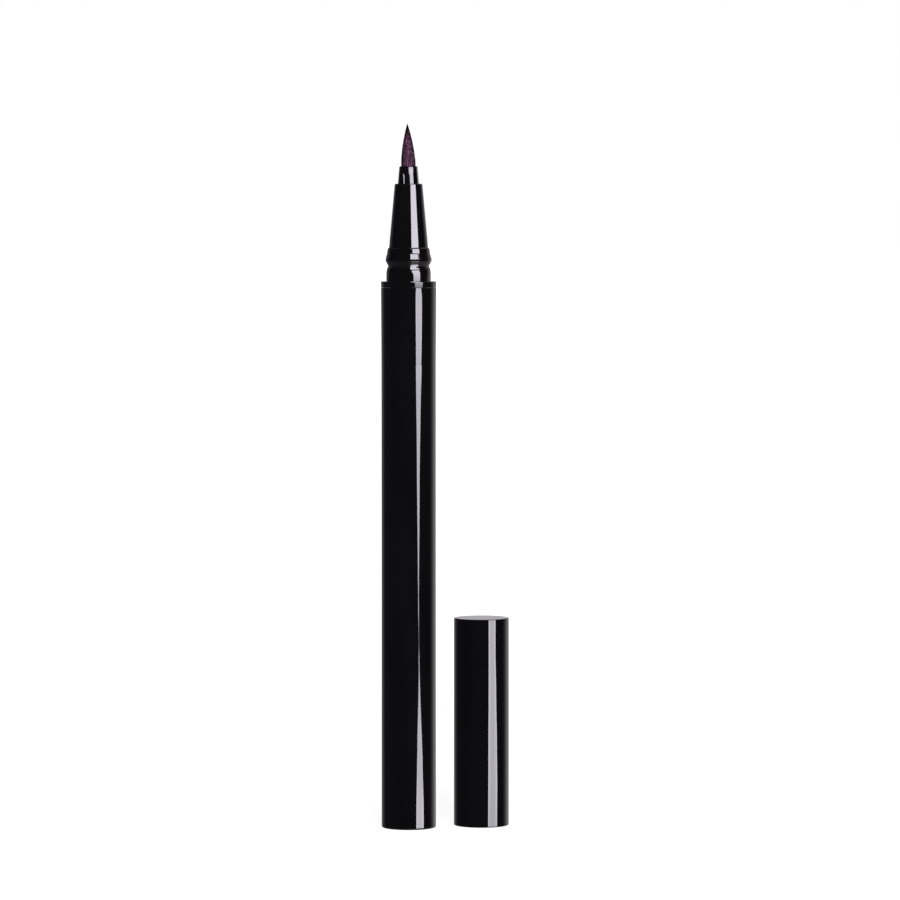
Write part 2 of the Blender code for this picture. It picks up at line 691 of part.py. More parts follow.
def spring_route():
    """Points of the spring: a straight end, a steady helix and a straight end."""
    end = 2.0 * SPRING_WIRE_RADIUS
    foot = INNER_CAP_TOP_HEIGHT + SEAT_GAP
    top = CAP_CEILING - SEAT_GAP
    count = SPRING_CURLS * SPRING_POINTS_PER_CURL
    route = [Vector((SPRING_COIL_RADIUS, 0.0, foot))]
    for index in range(count + 1):
        share = index / count
        turn = math.tau * SPRING_CURLS * share
        height = foot + end + share * (top - foot - 2.0 * end)
        across = SPRING_COIL_RADIUS * math.cos(turn)
        aside = SPRING_COIL_RADIUS * math.sin(turn)
        route.append(Vector((across, aside, height)))
    route.append(route[-1] + Vector((0.0, 0.0, end)))
    return route


def least_gap(route, radius, points_apart):
    """Smallest distance between two stretches of a round wire that aren't neighbours."""
    points = np.array([tuple(point) for point in route])
    steps = np.linspace(0.0, 1.0, SPRING_GAP_SAMPLES, endpoint=False)
    finer = np.vstack([points[:-1] * (1.0 - step) + points[1:] * step for step in steps])
    places = np.concatenate([np.arange(len(points) - 1) + step for step in steps])
    spans = np.linalg.norm(finer[:, None, :] - finer[None, :, :], axis=2)
    apart = np.abs(places[:, None] - places[None, :]) >= points_apart
    return spans[apart].min() - 2.0 * radius


def make_spring(finish, parent):
    """One unbroken wire between the inner cap and the top of the shell."""
    route = spring_route()
    gap = least_gap(route, SPRING_WIRE_RADIUS, SPRING_POINTS_PER_CURL / 2)
    print("least gap between the curls in mm", round(gap / MM, 3))
    wire = bpy.data.curves.new("inner_cap_spring", "CURVE")
    wire.dimensions = "3D"
    wire.bevel_depth = SPRING_WIRE_RADIUS
    wire.bevel_resolution = 1
    wire.render_resolution_u = 0
    wire.use_fill_caps = True
    spline = wire.splines.new("POLY")
    spline.points.add(len(route) - 1)
    for point, place in zip(spline.points, route):
        point.co = (*place, 1.0)
    return add_object("inner_cap_spring", wire, finish, parent)


def build():
    """Builds every piece of the pen and of its cap."""
    black = material("gloss_black_plastic", (0.006, 0.006, 0.008), 0.12)
    natural = material("natural_plastic", (0.62, 0.62, 0.58), 0.45)
    fibre = material("feed_fibre", (0.75, 0.74, 0.70), 0.9)
    rubber = material("black_rubber", (0.02, 0.02, 0.02), 0.7)
    soft = material("soft_seal", (0.30, 0.30, 0.30), 0.6)
    plum = material("brush_plum", (0.09, 0.045, 0.085), 0.55)
    steel = material("bright_steel", (0.60, 0.60, 0.60), 0.2, 1.0)
    pen = empty("pen_axis", (0.0, 0.0, 0.0))
    make_barrel(black, pen)
    make_tail_plug(black, pen)
    make_o_ring("tail_plug_o_ring", PLUG_GROOVE_HEIGHT, rubber, pen)
    make_mixing_balls(steel, pen)
    make_front_section(black, pen)
    make_o_ring("front_section_o_ring", FRONT_O_RING_LEVEL, rubber, pen)
    make_collector(natural, pen)
    make_feed_core(fibre, pen)
    make_feed_core_tube(natural, pen)
    make_brush_nozzle(black, pen)
    make_brush_root_collar(natural, pen)
    make_brush(plum, pen)
    cap = empty("cap_axis", (CAP_AXIS_X, CAP_AXIS_Y, 0.0))
    make_cap_shell(black, cap)
    make_cap_retainer_ring(black, cap)
    make_spring(steel, cap)
    inner = empty("inner_cap_axis", (0.0, 0.0, 0.0), cap)
    make_inner_cap(natural, inner)
    make_inner_cap_seal(soft, inner)


for leftover in list(bpy.data.objects):
    bpy.data.objects.remove(leftover)
build()
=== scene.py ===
"""Studio picture of a liquid eyeliner pen that stands on its end beside its cap.

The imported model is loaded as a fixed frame. Each sub-assembly is a class that works out its own
fine surfaces in the frame's coordinates, in metres with +Z up, and dresses them.
"""

from __future__ import annotations

import json
import logging
import math
from dataclasses import dataclass
from enum import Enum
from typing import Sequence

import bpy
import numpy as np
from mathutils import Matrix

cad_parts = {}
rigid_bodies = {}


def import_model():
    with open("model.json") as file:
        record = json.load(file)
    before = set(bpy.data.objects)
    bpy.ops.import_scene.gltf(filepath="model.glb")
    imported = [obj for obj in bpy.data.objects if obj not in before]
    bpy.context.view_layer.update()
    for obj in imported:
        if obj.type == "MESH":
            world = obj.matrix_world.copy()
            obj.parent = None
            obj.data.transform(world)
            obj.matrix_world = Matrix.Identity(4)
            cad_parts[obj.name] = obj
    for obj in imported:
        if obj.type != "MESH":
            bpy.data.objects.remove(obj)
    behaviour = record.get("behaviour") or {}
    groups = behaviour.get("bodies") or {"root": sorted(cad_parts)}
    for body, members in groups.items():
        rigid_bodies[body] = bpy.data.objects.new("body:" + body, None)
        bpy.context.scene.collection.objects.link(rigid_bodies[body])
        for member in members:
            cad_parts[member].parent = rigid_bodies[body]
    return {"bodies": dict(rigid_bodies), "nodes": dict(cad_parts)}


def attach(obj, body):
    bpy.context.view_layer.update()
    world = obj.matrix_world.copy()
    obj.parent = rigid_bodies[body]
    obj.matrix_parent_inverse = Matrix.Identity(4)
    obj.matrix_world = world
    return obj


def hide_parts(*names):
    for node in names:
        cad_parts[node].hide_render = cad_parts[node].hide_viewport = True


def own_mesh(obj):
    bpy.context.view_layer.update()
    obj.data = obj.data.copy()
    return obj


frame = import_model()

MM = 0.001
WELD = 1e-8
BROKEN_EDGE = 0.05 * MM
CRISP_EDGE = 0.03 * MM
SOFT_EDGE = 0.1 * MM
LIP_EDGE = 0.15 * MM
SHARP_ANGLE = math.radians(40.0)
OUTER_SIDES = 192
INNER_SIDES = 128
SMALL_SIDES = 64
PEN_AXIS = (0.0, 0.0, 0.0)
CAP_AXIS = (13.28 * MM, 3.6 * MM, 0.0)
log = logging.getLogger("eyeliner_pen")

Colour = tuple[float, float, float, float]
Point = tuple[float, float, float]
Skin = bpy.types.Material
Piece = bpy.types.Object


class Body(Enum):
    """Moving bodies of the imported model."""

    PEN = "pen"
    CAP = "cap"
    INNER_CAP = "inner_cap"
    FIRST_BALL = "mixing_ball_1"
    SECOND_BALL = "mixing_ball_2"


class Slot(Enum):
    """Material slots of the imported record."""

    GLOSS_BLACK = "gloss_black"
    INNER_BLACK = "inner_black"
    NATURAL = "natural_plastic"
    FIBRE = "feed_fibre"
    BRUSH = "brush_plum"
    RUBBER = "black_rubber"
    SOFT_SEAL = "soft_seal"
    STEEL = "bright_steel"


@dataclass(frozen=True)
class Value:
    """An output socket that takes part in Python arithmetic."""

    recipe: Recipe
    socket: bpy.types.NodeSocket

    def _maths(self, operation: str, *terms: Value | float) -> Value:
        """Adds one Math node.

        Args:
            operation: the node's operation.
            terms: its inputs in order.

        Returns:
            The result as a value.
        """
        inputs = dict(enumerate(terms))
        return self.recipe.node("ShaderNodeMath", {"operation": operation}, inputs)

    def __add__(self, other: Value | float) -> Value:
        """Sum."""
        return self._maths("ADD", self, other)

    def __radd__(self, other: float) -> Value:
        """Sum with a number in front."""
        return self._maths("ADD", other, self)

    def __sub__(self, other: Value | float) -> Value:
        """Difference."""
        return self._maths("SUBTRACT", self, other)

    def __rsub__(self, other: float) -> Value:
        """Difference from a number."""
        return self._maths("SUBTRACT", other, self)

    def __mul__(self, other: Value | float) -> Value:
        """Product."""
        return self._maths("MULTIPLY", self, other)

    def __rmul__(self, other: float) -> Value:
        """Product with a number in front."""
        return self._maths("MULTIPLY", other, self)

    def __truediv__(self, other: Value | float) -> Value:
        """Quotient."""
        return self._maths("DIVIDE", self, other)

    def __neg__(self) -> Value:
        """Opposite."""
        return self._maths("MULTIPLY", self, -1.0)

    def turn_from(self, other: Value) -> Value:
        """Angle whose tangent is this value over the other."""
        return self._maths("ARCTAN2", self, other)

    def ease(self, low: float, high: float) -> Value:
        """Smooth step from 0 at low to 1 at high.

        Args:
            low: where the step starts.
            high: where it ends.

        Returns:
            The share as a value.
        """
        inputs = {0: self, 1: low, 2: high, 3: 0.0, 4: 1.0}
        settings = {"interpolation_type": "SMOOTHSTEP"}
        return self.recipe.node("ShaderNodeMapRange", settings, inputs)


class Recipe:
    """Node tree of a material, a lamp or the world, built from expressions."""

    def __init__(self, tree: bpy.types.NodeTree) -> None:
        """Clears the tree."""
        self.tree = tree
        tree.nodes.clear()

    def node(
        self,
        kind: str,
        settings: dict[str, object] | None = None,
        inputs: dict[int | str, object] | None = None,
        output: int | str = 0,
    ) -> Value | None:
        """Adds any node.

        Args:
            kind: the node's type.
            settings: properties, or the stops of a ramp, set first.
            inputs: numbers, tuples or values by socket name or place.
            output: the socket that is handed back.

        Returns:
            The chosen output as a value, or None for a node without outputs.
        """
        made = self.tree.nodes.new(kind)
        for name, setting in (settings or {}).items():
            if name == "stops":
                self._set_stops(made.color_ramp, setting)
            else:
                setattr(made, name, setting)
        for place, given in (inputs or {}).items():
            if isinstance(given, Value):
                self.tree.links.new(given.socket, made.inputs[place])
            else:
                made.inputs[place].default_value = given
        return Value(self, made.outputs[output]) if made.outputs else None

    @staticmethod
    def _set_stops(ramp: bpy.types.ColorRamp, stops: Sequence[tuple[float, float]]) -> None:
        """Writes a ramp's stops, each a place and a grey level."""
        while len(ramp.elements) < len(stops):
            ramp.elements.new(1.0)
        for element, (place, level) in zip(ramp.elements, stops):
            element.position = place
            element.color = grey(level)

    def noise(self, size: float, detail: float = 2.0, stretch: float = 1.0) -> Value:
        """Noise over the object's own coordinates.

        Args:
            size: length of one patch of the pattern in metres.
            detail: how many finer layers it has.
            stretch: how much longer the patches are along +Z.

        Returns:
            The noise as a value from 0 to 1.
        """
        place = self.node("ShaderNodeTexCoord", output="Object")
        scale = (1.0 / size, 1.0 / size, 1.0 / (size * stretch))
        laid = self.node("ShaderNodeMapping", {}, {"Vector": place, "Scale": scale})
        return self.node("ShaderNodeTexNoise", {}, {"Vector": laid, "Scale": 1.0, "Detail": detail})

    def mix(self, share: Value | float, first: object, second: object) -> Value:
        """Colour that goes from the first at share 0 to the second at share 1."""
        return self.node("ShaderNodeMix", {"data_type": "RGBA"}, {0: share, 6: first, 7: second}, 2)

    def bump(self, height: Value, depth: float) -> Value:
        """Surface relief of the given depth in metres."""
        return self.node("ShaderNodeBump", {}, {"Height": height, "Distance": depth, "Strength": 1.0})

    def stored(self, name: str) -> Value:
        """Number that is stored on the mesh's points."""
        return self.node("ShaderNodeAttribute", {"attribute_name": name}, output="Fac")

    def glowing(self, base: Value, strength: Value, tint: Colour) -> None:
        """Ends the tree with a surface that also gives light.

        Args:
            base: the surface's shader.
            strength: how strongly it glows.
            tint: the colour of the glow.
        """
        light = self.node("ShaderNodeEmission", {}, {"Color": tint, "Strength": strength})
        both = self.node("ShaderNodeAddShader", {}, {0: base, 1: light})
        self.node("ShaderNodeOutputMaterial", {}, {"Surface": both})


def colour(red: float, green: float, blue: float) -> Colour:
    """Opaque colour from linear shares."""
    return (red, green, blue, 1.0)


def grey(level: float) -> Colour:
    """Opaque grey."""
    return colour(level, level, level)


@dataclass(frozen=True)
class Finish:
    """Named finish that says what the sockets of its shader get."""

    name: str

    def sockets(self, recipe: Recipe) -> dict[str, Value | float]:
        """Numbers that are the same all over, and values that change over the surface."""
        raise NotImplementedError

    def material(self) -> Skin:
        """The finished material."""
        made = bpy.data.materials.new(self.name)
        made.use_nodes = True
        recipe = Recipe(made.node_tree)
        shader = recipe.node("ShaderNodeBsdfPrincipled", {}, self.sockets(recipe))
        recipe.node("ShaderNodeOutputMaterial", {}, {"Surface": shader})
        return made


@dataclass(frozen=True)
class PolishedMoulding(Finish):
    """Hard plastic with a polished skin, faint flow in its colour and a trace of handling haze."""

    deep: Colour
    lifted: Colour
    smooth: float = 0.03
    hazed: float = 0.045
    ripple: float = 0.0004 * MM
    grain: float = 0.00003 * MM

    def sockets(self, recipe: Recipe) -> dict[str, Value | float]:
        """Colour from a long flow pattern, roughness from haze, relief from ripple and grain."""
        flow = recipe.noise(4.0 * MM, 3.0, 6.0)
        haze = recipe.noise(1.1 * MM, 5.0, 2.5)
        waves = recipe.noise(5.0 * MM, 1.0, 4.0)
        skin = recipe.noise(0.12 * MM, 2.0)
        return {
            "IOR": 1.5,
            "Base Color": recipe.mix(flow.ease(0.3, 0.7), self.deep, self.lifted),
            "Roughness": self.smooth + (self.hazed - self.smooth) * haze.ease(0.35, 0.75),
            "Normal": recipe.bump(waves * self.ripple + skin * self.grain, 1.0),
        }


@dataclass(frozen=True)
class PlainMoulding(Finish):
    """Plastic as it leaves the tool, with a fine eroded texture."""

    base: Colour
    cloudy: Colour
    roughness: float
    patchy: float = 0.15
    texture: float = 0.002 * MM

    def sockets(self, recipe: Recipe) -> dict[str, Value | float]:
        """Colour from slow clouds, roughness and relief from a fine even texture."""
        clouds = recipe.noise(2.5 * MM, 3.0, 2.0)
        pits = recipe.noise(0.08 * MM, 3.0)
        return {
            "IOR": 1.5,
            "Base Color": recipe.mix(clouds.ease(0.25, 0.75), self.base, self.cloudy),
            "Roughness": self.roughness + self.patchy * (pits - 0.5),
            "Normal": recipe.bump(pits, self.texture),
        }


@dataclass(frozen=True)
class BondedFibre(Finish):
    """Rod of fine fibres bonded side by side."""

    name: str = "bonded_fibre"
    pale: Colour = colour(0.78, 0.77, 0.73)
    inked: Colour = colour(0.55, 0.53, 0.50)

    def sockets(self, recipe: Recipe) -> dict[str, Value | float]:
        """Long thin streaks along the rod in colour and relief."""
        streaks = recipe.noise(0.05 * MM, 2.0, 25.0)
        return {
            "Roughness": 0.9,
            "Base Color": recipe.mix(streaks.ease(0.35, 0.65), self.inked, self.pale),
            "Normal": recipe.bump(streaks, 0.01 * MM),
        }


@dataclass(frozen=True)
class BrightSteel(Finish):
    """Polished stainless steel with fine drawing marks."""

    name: str = "bright_stainless"
    dark: Colour = colour(0.50, 0.50, 0.51)
    light: Colour = colour(0.66, 0.66, 0.67)

    def sockets(self, recipe: Recipe) -> dict[str, Value | float]:
        """Metal whose roughness follows fine scratches."""
        marks = recipe.noise(0.06 * MM, 4.0, 3.0)
        return {
            "Metallic": 1.0,
            "Base Color": recipe.mix(marks.ease(0.3, 0.7), self.dark, self.light),
            "Roughness": 0.14 + 0.14 * marks,
        }


@dataclass(frozen=True)
class BrushHair(Finish):
    """Fine dyed filaments, wet and dark towards the point."""

    name: str = "brush_plum_hair"
    pale: Colour = colour(0.51, 0.255, 0.445)
    plum: Colour = colour(0.30, 0.12, 0.255)
    deep: Colour = colour(0.13, 0.04, 0.11)
    # Near-black of the ink-wet point, also used on the outer strands as painted shade along the brush's
    # sides.
    inked: Colour = colour(0.0015, 0.001, 0.0015)

    def sockets(self, recipe: Recipe) -> dict[str, Value | float]:
        """Colour from each strand's tone, from clots and specks, and from the way to the point; the
        least tone turns near-black, painted shade on the outer strands.
        """
        shade = recipe.stored("strand_tone_and_rim_shade")
        way = recipe.stored("way_to_point")
        clots = recipe.noise(0.28 * MM, 1.0)
        specks = recipe.noise(0.12 * MM, 0.0)
        tone = clots * 0.62 + specks * 0.33 + shade * 0.05 - way * 0.15
        body = recipe.mix(tone.ease(0.46, 0.57), self.plum, self.pale)
        body = recipe.mix(tone.ease(0.47, 0.37), body, self.deep)
        # Strands of least tone, all outer strands among them, turn near-black: painted shade along the
        # brush's sides.
        body = recipe.mix(shade.ease(0.02, 0.01), body, self.inked)
        return {
            "IOR": 1.5,
            "Base Color": recipe.mix(way.ease(0.68, 0.92), body, self.inked),
            "Roughness": 0.75 - 0.25 * way,
        }


@dataclass(frozen=True)
class Surface:
    """Points and faces of a closed shape."""

    points: np.ndarray
    faces: list[list[int]]

    def moved(self, offset: Point) -> Surface:
        """The same shape at another place."""
        return Surface(self.points + np.array(offset), self.faces)


def joined(shapes: Sequence[Surface]) -> Surface:
    """Several shapes as one."""
    starts = np.cumsum([0] + [len(shape.points) for shape in shapes])
    faces = [
        [start + corner for corner in face]
        for start, shape in zip(starts.tolist(), shapes)
        for face in shape.faces
    ]
    return Surface(np.vstack([shape.points for shape in shapes]), faces)


def grid_surface(grid: np.ndarray, closed_rows: bool) -> Surface:
    """Closes a grid of points round its columns.

    Each cell of the grid becomes a face. Points that coincide, as at a pole, become one, so a
    cell with two equal corners is a triangle and a cell without width is left out.

    Args:
        grid: points by row, column and coordinate.
        closed_rows: whether the last row meets the first.

    Returns:
        The closed surface.
    """
    rows, columns = grid.shape[:2]
    points = grid.reshape(-1, 3)
    spots = np.round(points / WELD).astype(np.int64)
    _, kept, place = np.unique(spots, axis=0, return_index=True, return_inverse=True)
    place = place.reshape(rows, columns)
    after = np.roll(place, -1, axis=0) if closed_rows else place[1:]
    first = place if closed_rows else place[:-1]
    corners = [first, np.roll(first, -1, axis=1), np.roll(after, -1, axis=1), after]
    cells = np.stack(corners, axis=-1).reshape(-1, 4)
    repeated = cells == np.roll(cells, -1, axis=1)
    doubles = repeated.sum(axis=1)
    faces = cells[doubles == 0].tolist()
    thin = doubles == 1
    faces += cells[thin][~repeated[thin]].reshape(-1, 3).tolist()
    return Surface(points[kept], faces)


def rounded_outline(outline: Sequence[Point], closed: bool = True) -> np.ndarray:
    """Rounds the corners of an outline and steadies its straight stretches.

    With a and b the unit directions from a corner to its neighbours and h half the angle between
    them, a round of radius r touches both sides at r / tan(h) from the corner and has its centre
    at r / sin(h) along the bisector. Its points turn evenly from one touching point to the other.
    Each straight stretch then gets a point close to either end, so that smooth shading stays
    within the rounds.

    Args:
        outline: corners as radius, height and round, anticlockwise with radius to the right.
        closed: whether the last corner leads back to the first.

    Returns:
        The outline's points as an array of radius and height.
    """
    steps = 8
    hold_length, least_hold = 0.03 * MM, 0.12 * MM
    table = np.array(outline, float)
    corner, rounds = table[:, :2], table[:, 2:]
    before = np.roll(corner, 1, axis=0) - corner
    after = np.roll(corner, -1, axis=0) - corner
    before /= np.linalg.norm(before, axis=1, keepdims=True)
    after /= np.linalg.norm(after, axis=1, keepdims=True)
    cosine = np.clip((before * after).sum(axis=1, keepdims=True), -1.0, 1.0)
    half = np.arccos(cosine) / 2.0
    bisector = before + after
    bisector /= np.maximum(np.linalg.norm(bisector, axis=1, keepdims=True), 1e-12)
    centre = corner + bisector * rounds / np.sin(half)
    reach = rounds / np.tan(half)
    start, end = corner + before * reach - centre, corner + after * reach - centre
    sweep = np.maximum(math.pi - 2.0 * half, 1e-9)[:, None]
    share = np.linspace(0.0, 1.0, steps)[None, :, None]
    blend = np.sin((1.0 - share) * sweep) * start[:, None] + np.sin(share * sweep) * end[:, None]
    points = centre[:, None] + blend / np.sin(sweep)
    points = np.where(rounds[:, None] > 0.0, points, corner[:, None]).reshape(-1, 2)
    if not closed:
        points = points[steps - 1 : len(points) - steps + 1]
    gap = np.linalg.norm(np.diff(points, axis=0, append=points[:1]), axis=1)
    points = points[gap > WELD]
    following = np.roll(points, -1, axis=0)
    span = np.linalg.norm(following - points, axis=1, keepdims=True)
    hold = np.minimum(hold_length, span / 4.0) / span
    step = hold * (following - points)
    held = np.stack([points, points + step, following - step], 1)
    keep = np.repeat(span > least_hold, 3, axis=1)
    keep[:, 0] = True
    if not closed:
        keep[-1, 1:] = False
    return held[keep]


def round_grid(reach: np.ndarray, turns: np.ndarray, height: np.ndarray) -> np.ndarray:
    """Grid of the points (reach cos(turn), reach sin(turn), height)."""
    places = np.broadcast_arrays(reach * np.cos(turns), reach * np.sin(turns), height)
    return np.stack(places, axis=-1)


def turned_surface(outline: Sequence[Point], sides: int) -> Surface:
    """Turns an outline round the upright axis.

    The point at outline place s and turn t is (r(s) cos t, r(s) sin t, z(s)). An outline that
    starts and ends on the axis is closed by it, and any other leads back to its start.

    Args:
        outline: corners as radius, height and round.
        sides: steps of the turn.

    Returns:
        The closed surface.
    """
    closed = outline[0][0] > 0.0
    radius, height = rounded_outline(outline, closed).T[:, :, None]
    turns = np.linspace(0.0, math.tau, sides, endpoint=False)[None]
    return grid_surface(round_grid(radius, turns, height), closed)


def placed(name: str, data: bpy.types.ID) -> Piece:
    """New object in the scene, at the origin and unturned."""
    made = bpy.data.objects.new(name, data)
    bpy.context.scene.collection.objects.link(made)
    return made


def store(mesh: bpy.types.Mesh, name: str, values: np.ndarray) -> None:
    """Stores one number on each point of a mesh."""
    stored = mesh.attributes.new(name, "FLOAT", "POINT")
    stored.data.foreach_set("value", values.reshape(-1).astype(np.float32))


def make_piece(
    name: str, shape: Surface, finish: Skin, body: Body, nodes: Sequence[str]
) -> Piece:
    """Adds a piece of the product and hides the plain solids that it stands for.

    Args:
        name: the piece's name.
        shape: its closed surface in place.
        finish: its material.
        body: the moving body that it rides on.
        nodes: names of the solids that it replaces.

    Returns:
        The new object.
    """
    mesh = bpy.data.meshes.new(name)
    mesh.from_pydata(shape.points.tolist(), [], shape.faces)
    mesh.shade_smooth()
    mesh.set_sharp_from_angle(angle=SHARP_ANGLE)
    mesh.materials.append(finish)
    piece = placed(name, mesh)
    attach(piece, body.value)
    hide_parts(*nodes)
    log.info("%s: %d faces on %s", name, len(shape.faces), body.value)
    return piece


@dataclass
class Barrel:
    """Straight tube of the pen with a faint flare towards its mouth."""

    length: float = 98.6 * MM
    radius: float = 4.95 * MM
    wall: float = 1.3 * MM
    foot_round: float = 0.3 * MM
    flare: float = 0.08 * MM
    flare_length: float = 14.0 * MM
    mouth_round: float = 0.02 * MM

    @property
    def bore(self) -> float:
        """Radius of the ink tank."""
        return self.radius - self.wall

    def surface(self) -> Surface:
        """Outer wall, mouth, bore and foot, turned from one outline."""
        outline = [
            (self.bore, 0.0, BROKEN_EDGE),
            (self.radius, 0.0, self.foot_round),
            (self.radius, self.length - self.flare_length, 0.0),
            (self.radius + self.flare, self.length, self.mouth_round),
            (self.bore, self.length, BROKEN_EDGE),
        ]
        return turned_surface(outline, OUTER_SIDES)

    def make(self, skin: Skin) -> list[Piece]:
        """Makes the barrel."""
        shape = self.surface()
        return [make_piece("barrel_tube", shape, skin, Body.PEN, ["barrel"])]


@dataclass
class TailPlug:
    """Cup pressed into the foot of the barrel, with a groove for its seal ring."""

    radius: float = 3.6 * MM
    length: float = 7.0 * MM
    floor: float = 1.4 * MM
    cup: float = 2.3 * MM
    groove_level: float = 4.6 * MM
    groove_width: float = 1.0 * MM
    groove_depth: float = 0.72 * MM
    dimple: float = 0.9 * MM
    dimple_depth: float = 0.12 * MM
    foot_round: float = 0.12 * MM
    lead_in: float = 0.35 * MM

    def surface(self) -> Surface:
        """Cup with a seal groove outside and a gate dimple in the middle of its foot."""
        half, bed = self.groove_width / 2.0, self.radius - self.groove_depth
        low, high = self.groove_level - half, self.groove_level + half
        outline = [
            (0.0, self.dimple_depth, 0.0),
            (self.dimple, self.dimple_depth, BROKEN_EDGE),
            (self.dimple + self.dimple_depth, 0.0, BROKEN_EDGE),
            (self.radius, 0.0, self.foot_round),
            (self.radius, low, CRISP_EDGE),
            (bed, low, BROKEN_EDGE),
            (bed, high, BROKEN_EDGE),
            (self.radius, high, CRISP_EDGE),
            (self.radius, self.length - self.lead_in, SOFT_EDGE),
            (self.radius - self.lead_in, self.length, SOFT_EDGE),
            (self.cup, self.length, SOFT_EDGE),
            (self.cup, self.floor, 0.3 * MM),
            (0.0, self.floor, 0.0),
        ]
        return turned_surface(outline, INNER_SIDES)

    def make(self, skin: Skin) -> list[Piece]:
        """Makes the plug."""
        shape = self.surface()
        return [make_piece("tail_cup", shape, skin, Body.PEN, ["tail_plug"])]


@dataclass
class FrontSection:
    """Sleeve in the barrel, then flange, collar, groove, snap ring and cone in one moulding."""

    sleeve: float = 3.6 * MM
    sleeve_bore: float = 2.95 * MM
    sleeve_foot: float = 74.1 * MM
    lead_in: float = 0.25 * MM
    seal_level: float = 97.3 * MM
    seal_width: float = 1.0 * MM
    seal_depth: float = 0.72 * MM
    seat: float = 96.1 * MM
    tail_bore: float = 2.3 * MM
    nose_bore: float = 2.0 * MM
    nose_step: float = 110.15 * MM
    flange: float = 5.02 * MM
    flange_foot: float = 98.65 * MM
    flange_edge: float = 99.72 * MM
    flange_top: float = 99.77 * MM
    collar: float = 4.06 * MM
    collar_bend: float = 100.9 * MM
    groove: float = 3.72 * MM
    groove_level: float = 102.48 * MM
    ring_foot: float = 4.17 * MM
    ring_foot_level: float = 103.40 * MM
    crest: float = 4.215 * MM
    crest_level: float = 103.78 * MM
    waist: float = 3.935 * MM
    waist_level: float = 104.78 * MM
    shoulder: float = 3.81 * MM
    shoulder_top: float = 105.69 * MM
    cone_base: float = 3.56 * MM
    cone_foot: float = 105.86 * MM
    cone_tip: float = 2.51 * MM
    cone_top: float = 117.45 * MM

    def surface(self) -> Surface:
        """The whole moulding from one outline, with the soft rounds of a polished tool.

        Above its bend the collar falls to the groove in three flat steps, each further in, higher
        and tighter.

        Returns:
            The closed surface.
        """
        falls = np.array([(0.025, 0.55, 3.0), (0.075, 0.95, 1.6), (0.17, 1.27, 0.8)]) * MM
        half, bed = self.seal_width / 2.0, self.sleeve - self.seal_depth
        low, high = self.seal_level - half, self.seal_level + half
        outline = [
            (self.sleeve_bore, self.sleeve_foot, BROKEN_EDGE),
            (self.sleeve - self.lead_in, self.sleeve_foot, BROKEN_EDGE),
            (self.sleeve, self.sleeve_foot + self.lead_in, BROKEN_EDGE),
            (self.sleeve, low, CRISP_EDGE),
            (bed, low, BROKEN_EDGE),
            (bed, high, BROKEN_EDGE),
            (self.sleeve, high, CRISP_EDGE),
            (self.sleeve, self.flange_foot, CRISP_EDGE),
            (self.flange, self.flange_foot, CRISP_EDGE),
            (self.flange, self.flange_edge, 0.12 * MM),
            (self.collar, self.flange_top, CRISP_EDGE),
            (self.collar, self.collar_bend, 6.0 * MM),
            *((self.collar - inward, self.collar_bend + rise, bend) for inward, rise, bend in falls),
            (self.groove, self.groove_level, 0.02 * MM),
            (self.groove + 0.14 * MM, self.groove_level + 0.32 * MM, 0.8 * MM),
            (self.ring_foot, self.ring_foot_level, 0.12 * MM),
            (self.crest, self.crest_level, 0.10 * MM),
            (self.waist, self.waist_level, 1.5 * MM),
            (self.waist - 0.06 * MM, self.waist_level + 0.42 * MM, 3.0 * MM),
            (self.shoulder, self.shoulder_top, 0.06 * MM),
            (self.cone_base, self.cone_foot, BROKEN_EDGE),
            (self.cone_tip, self.cone_top, 0.2 * MM),
            (self.nose_bore, self.cone_top, 0.04 * MM),
            (self.nose_bore, self.nose_step, BROKEN_EDGE),
            (self.tail_bore, self.nose_step, BROKEN_EDGE),
            (self.tail_bore, self.seat, BROKEN_EDGE),
            (self.sleeve_bore, self.seat, BROKEN_EDGE),
        ]
        return turned_surface(outline, OUTER_SIDES)

    def make(self, skin: Skin) -> list[Piece]:
        """Makes the front section."""
        shape = self.surface()
        name = "front_moulding"
        return [make_piece(name, shape, skin, Body.PEN, ["front_section"])]


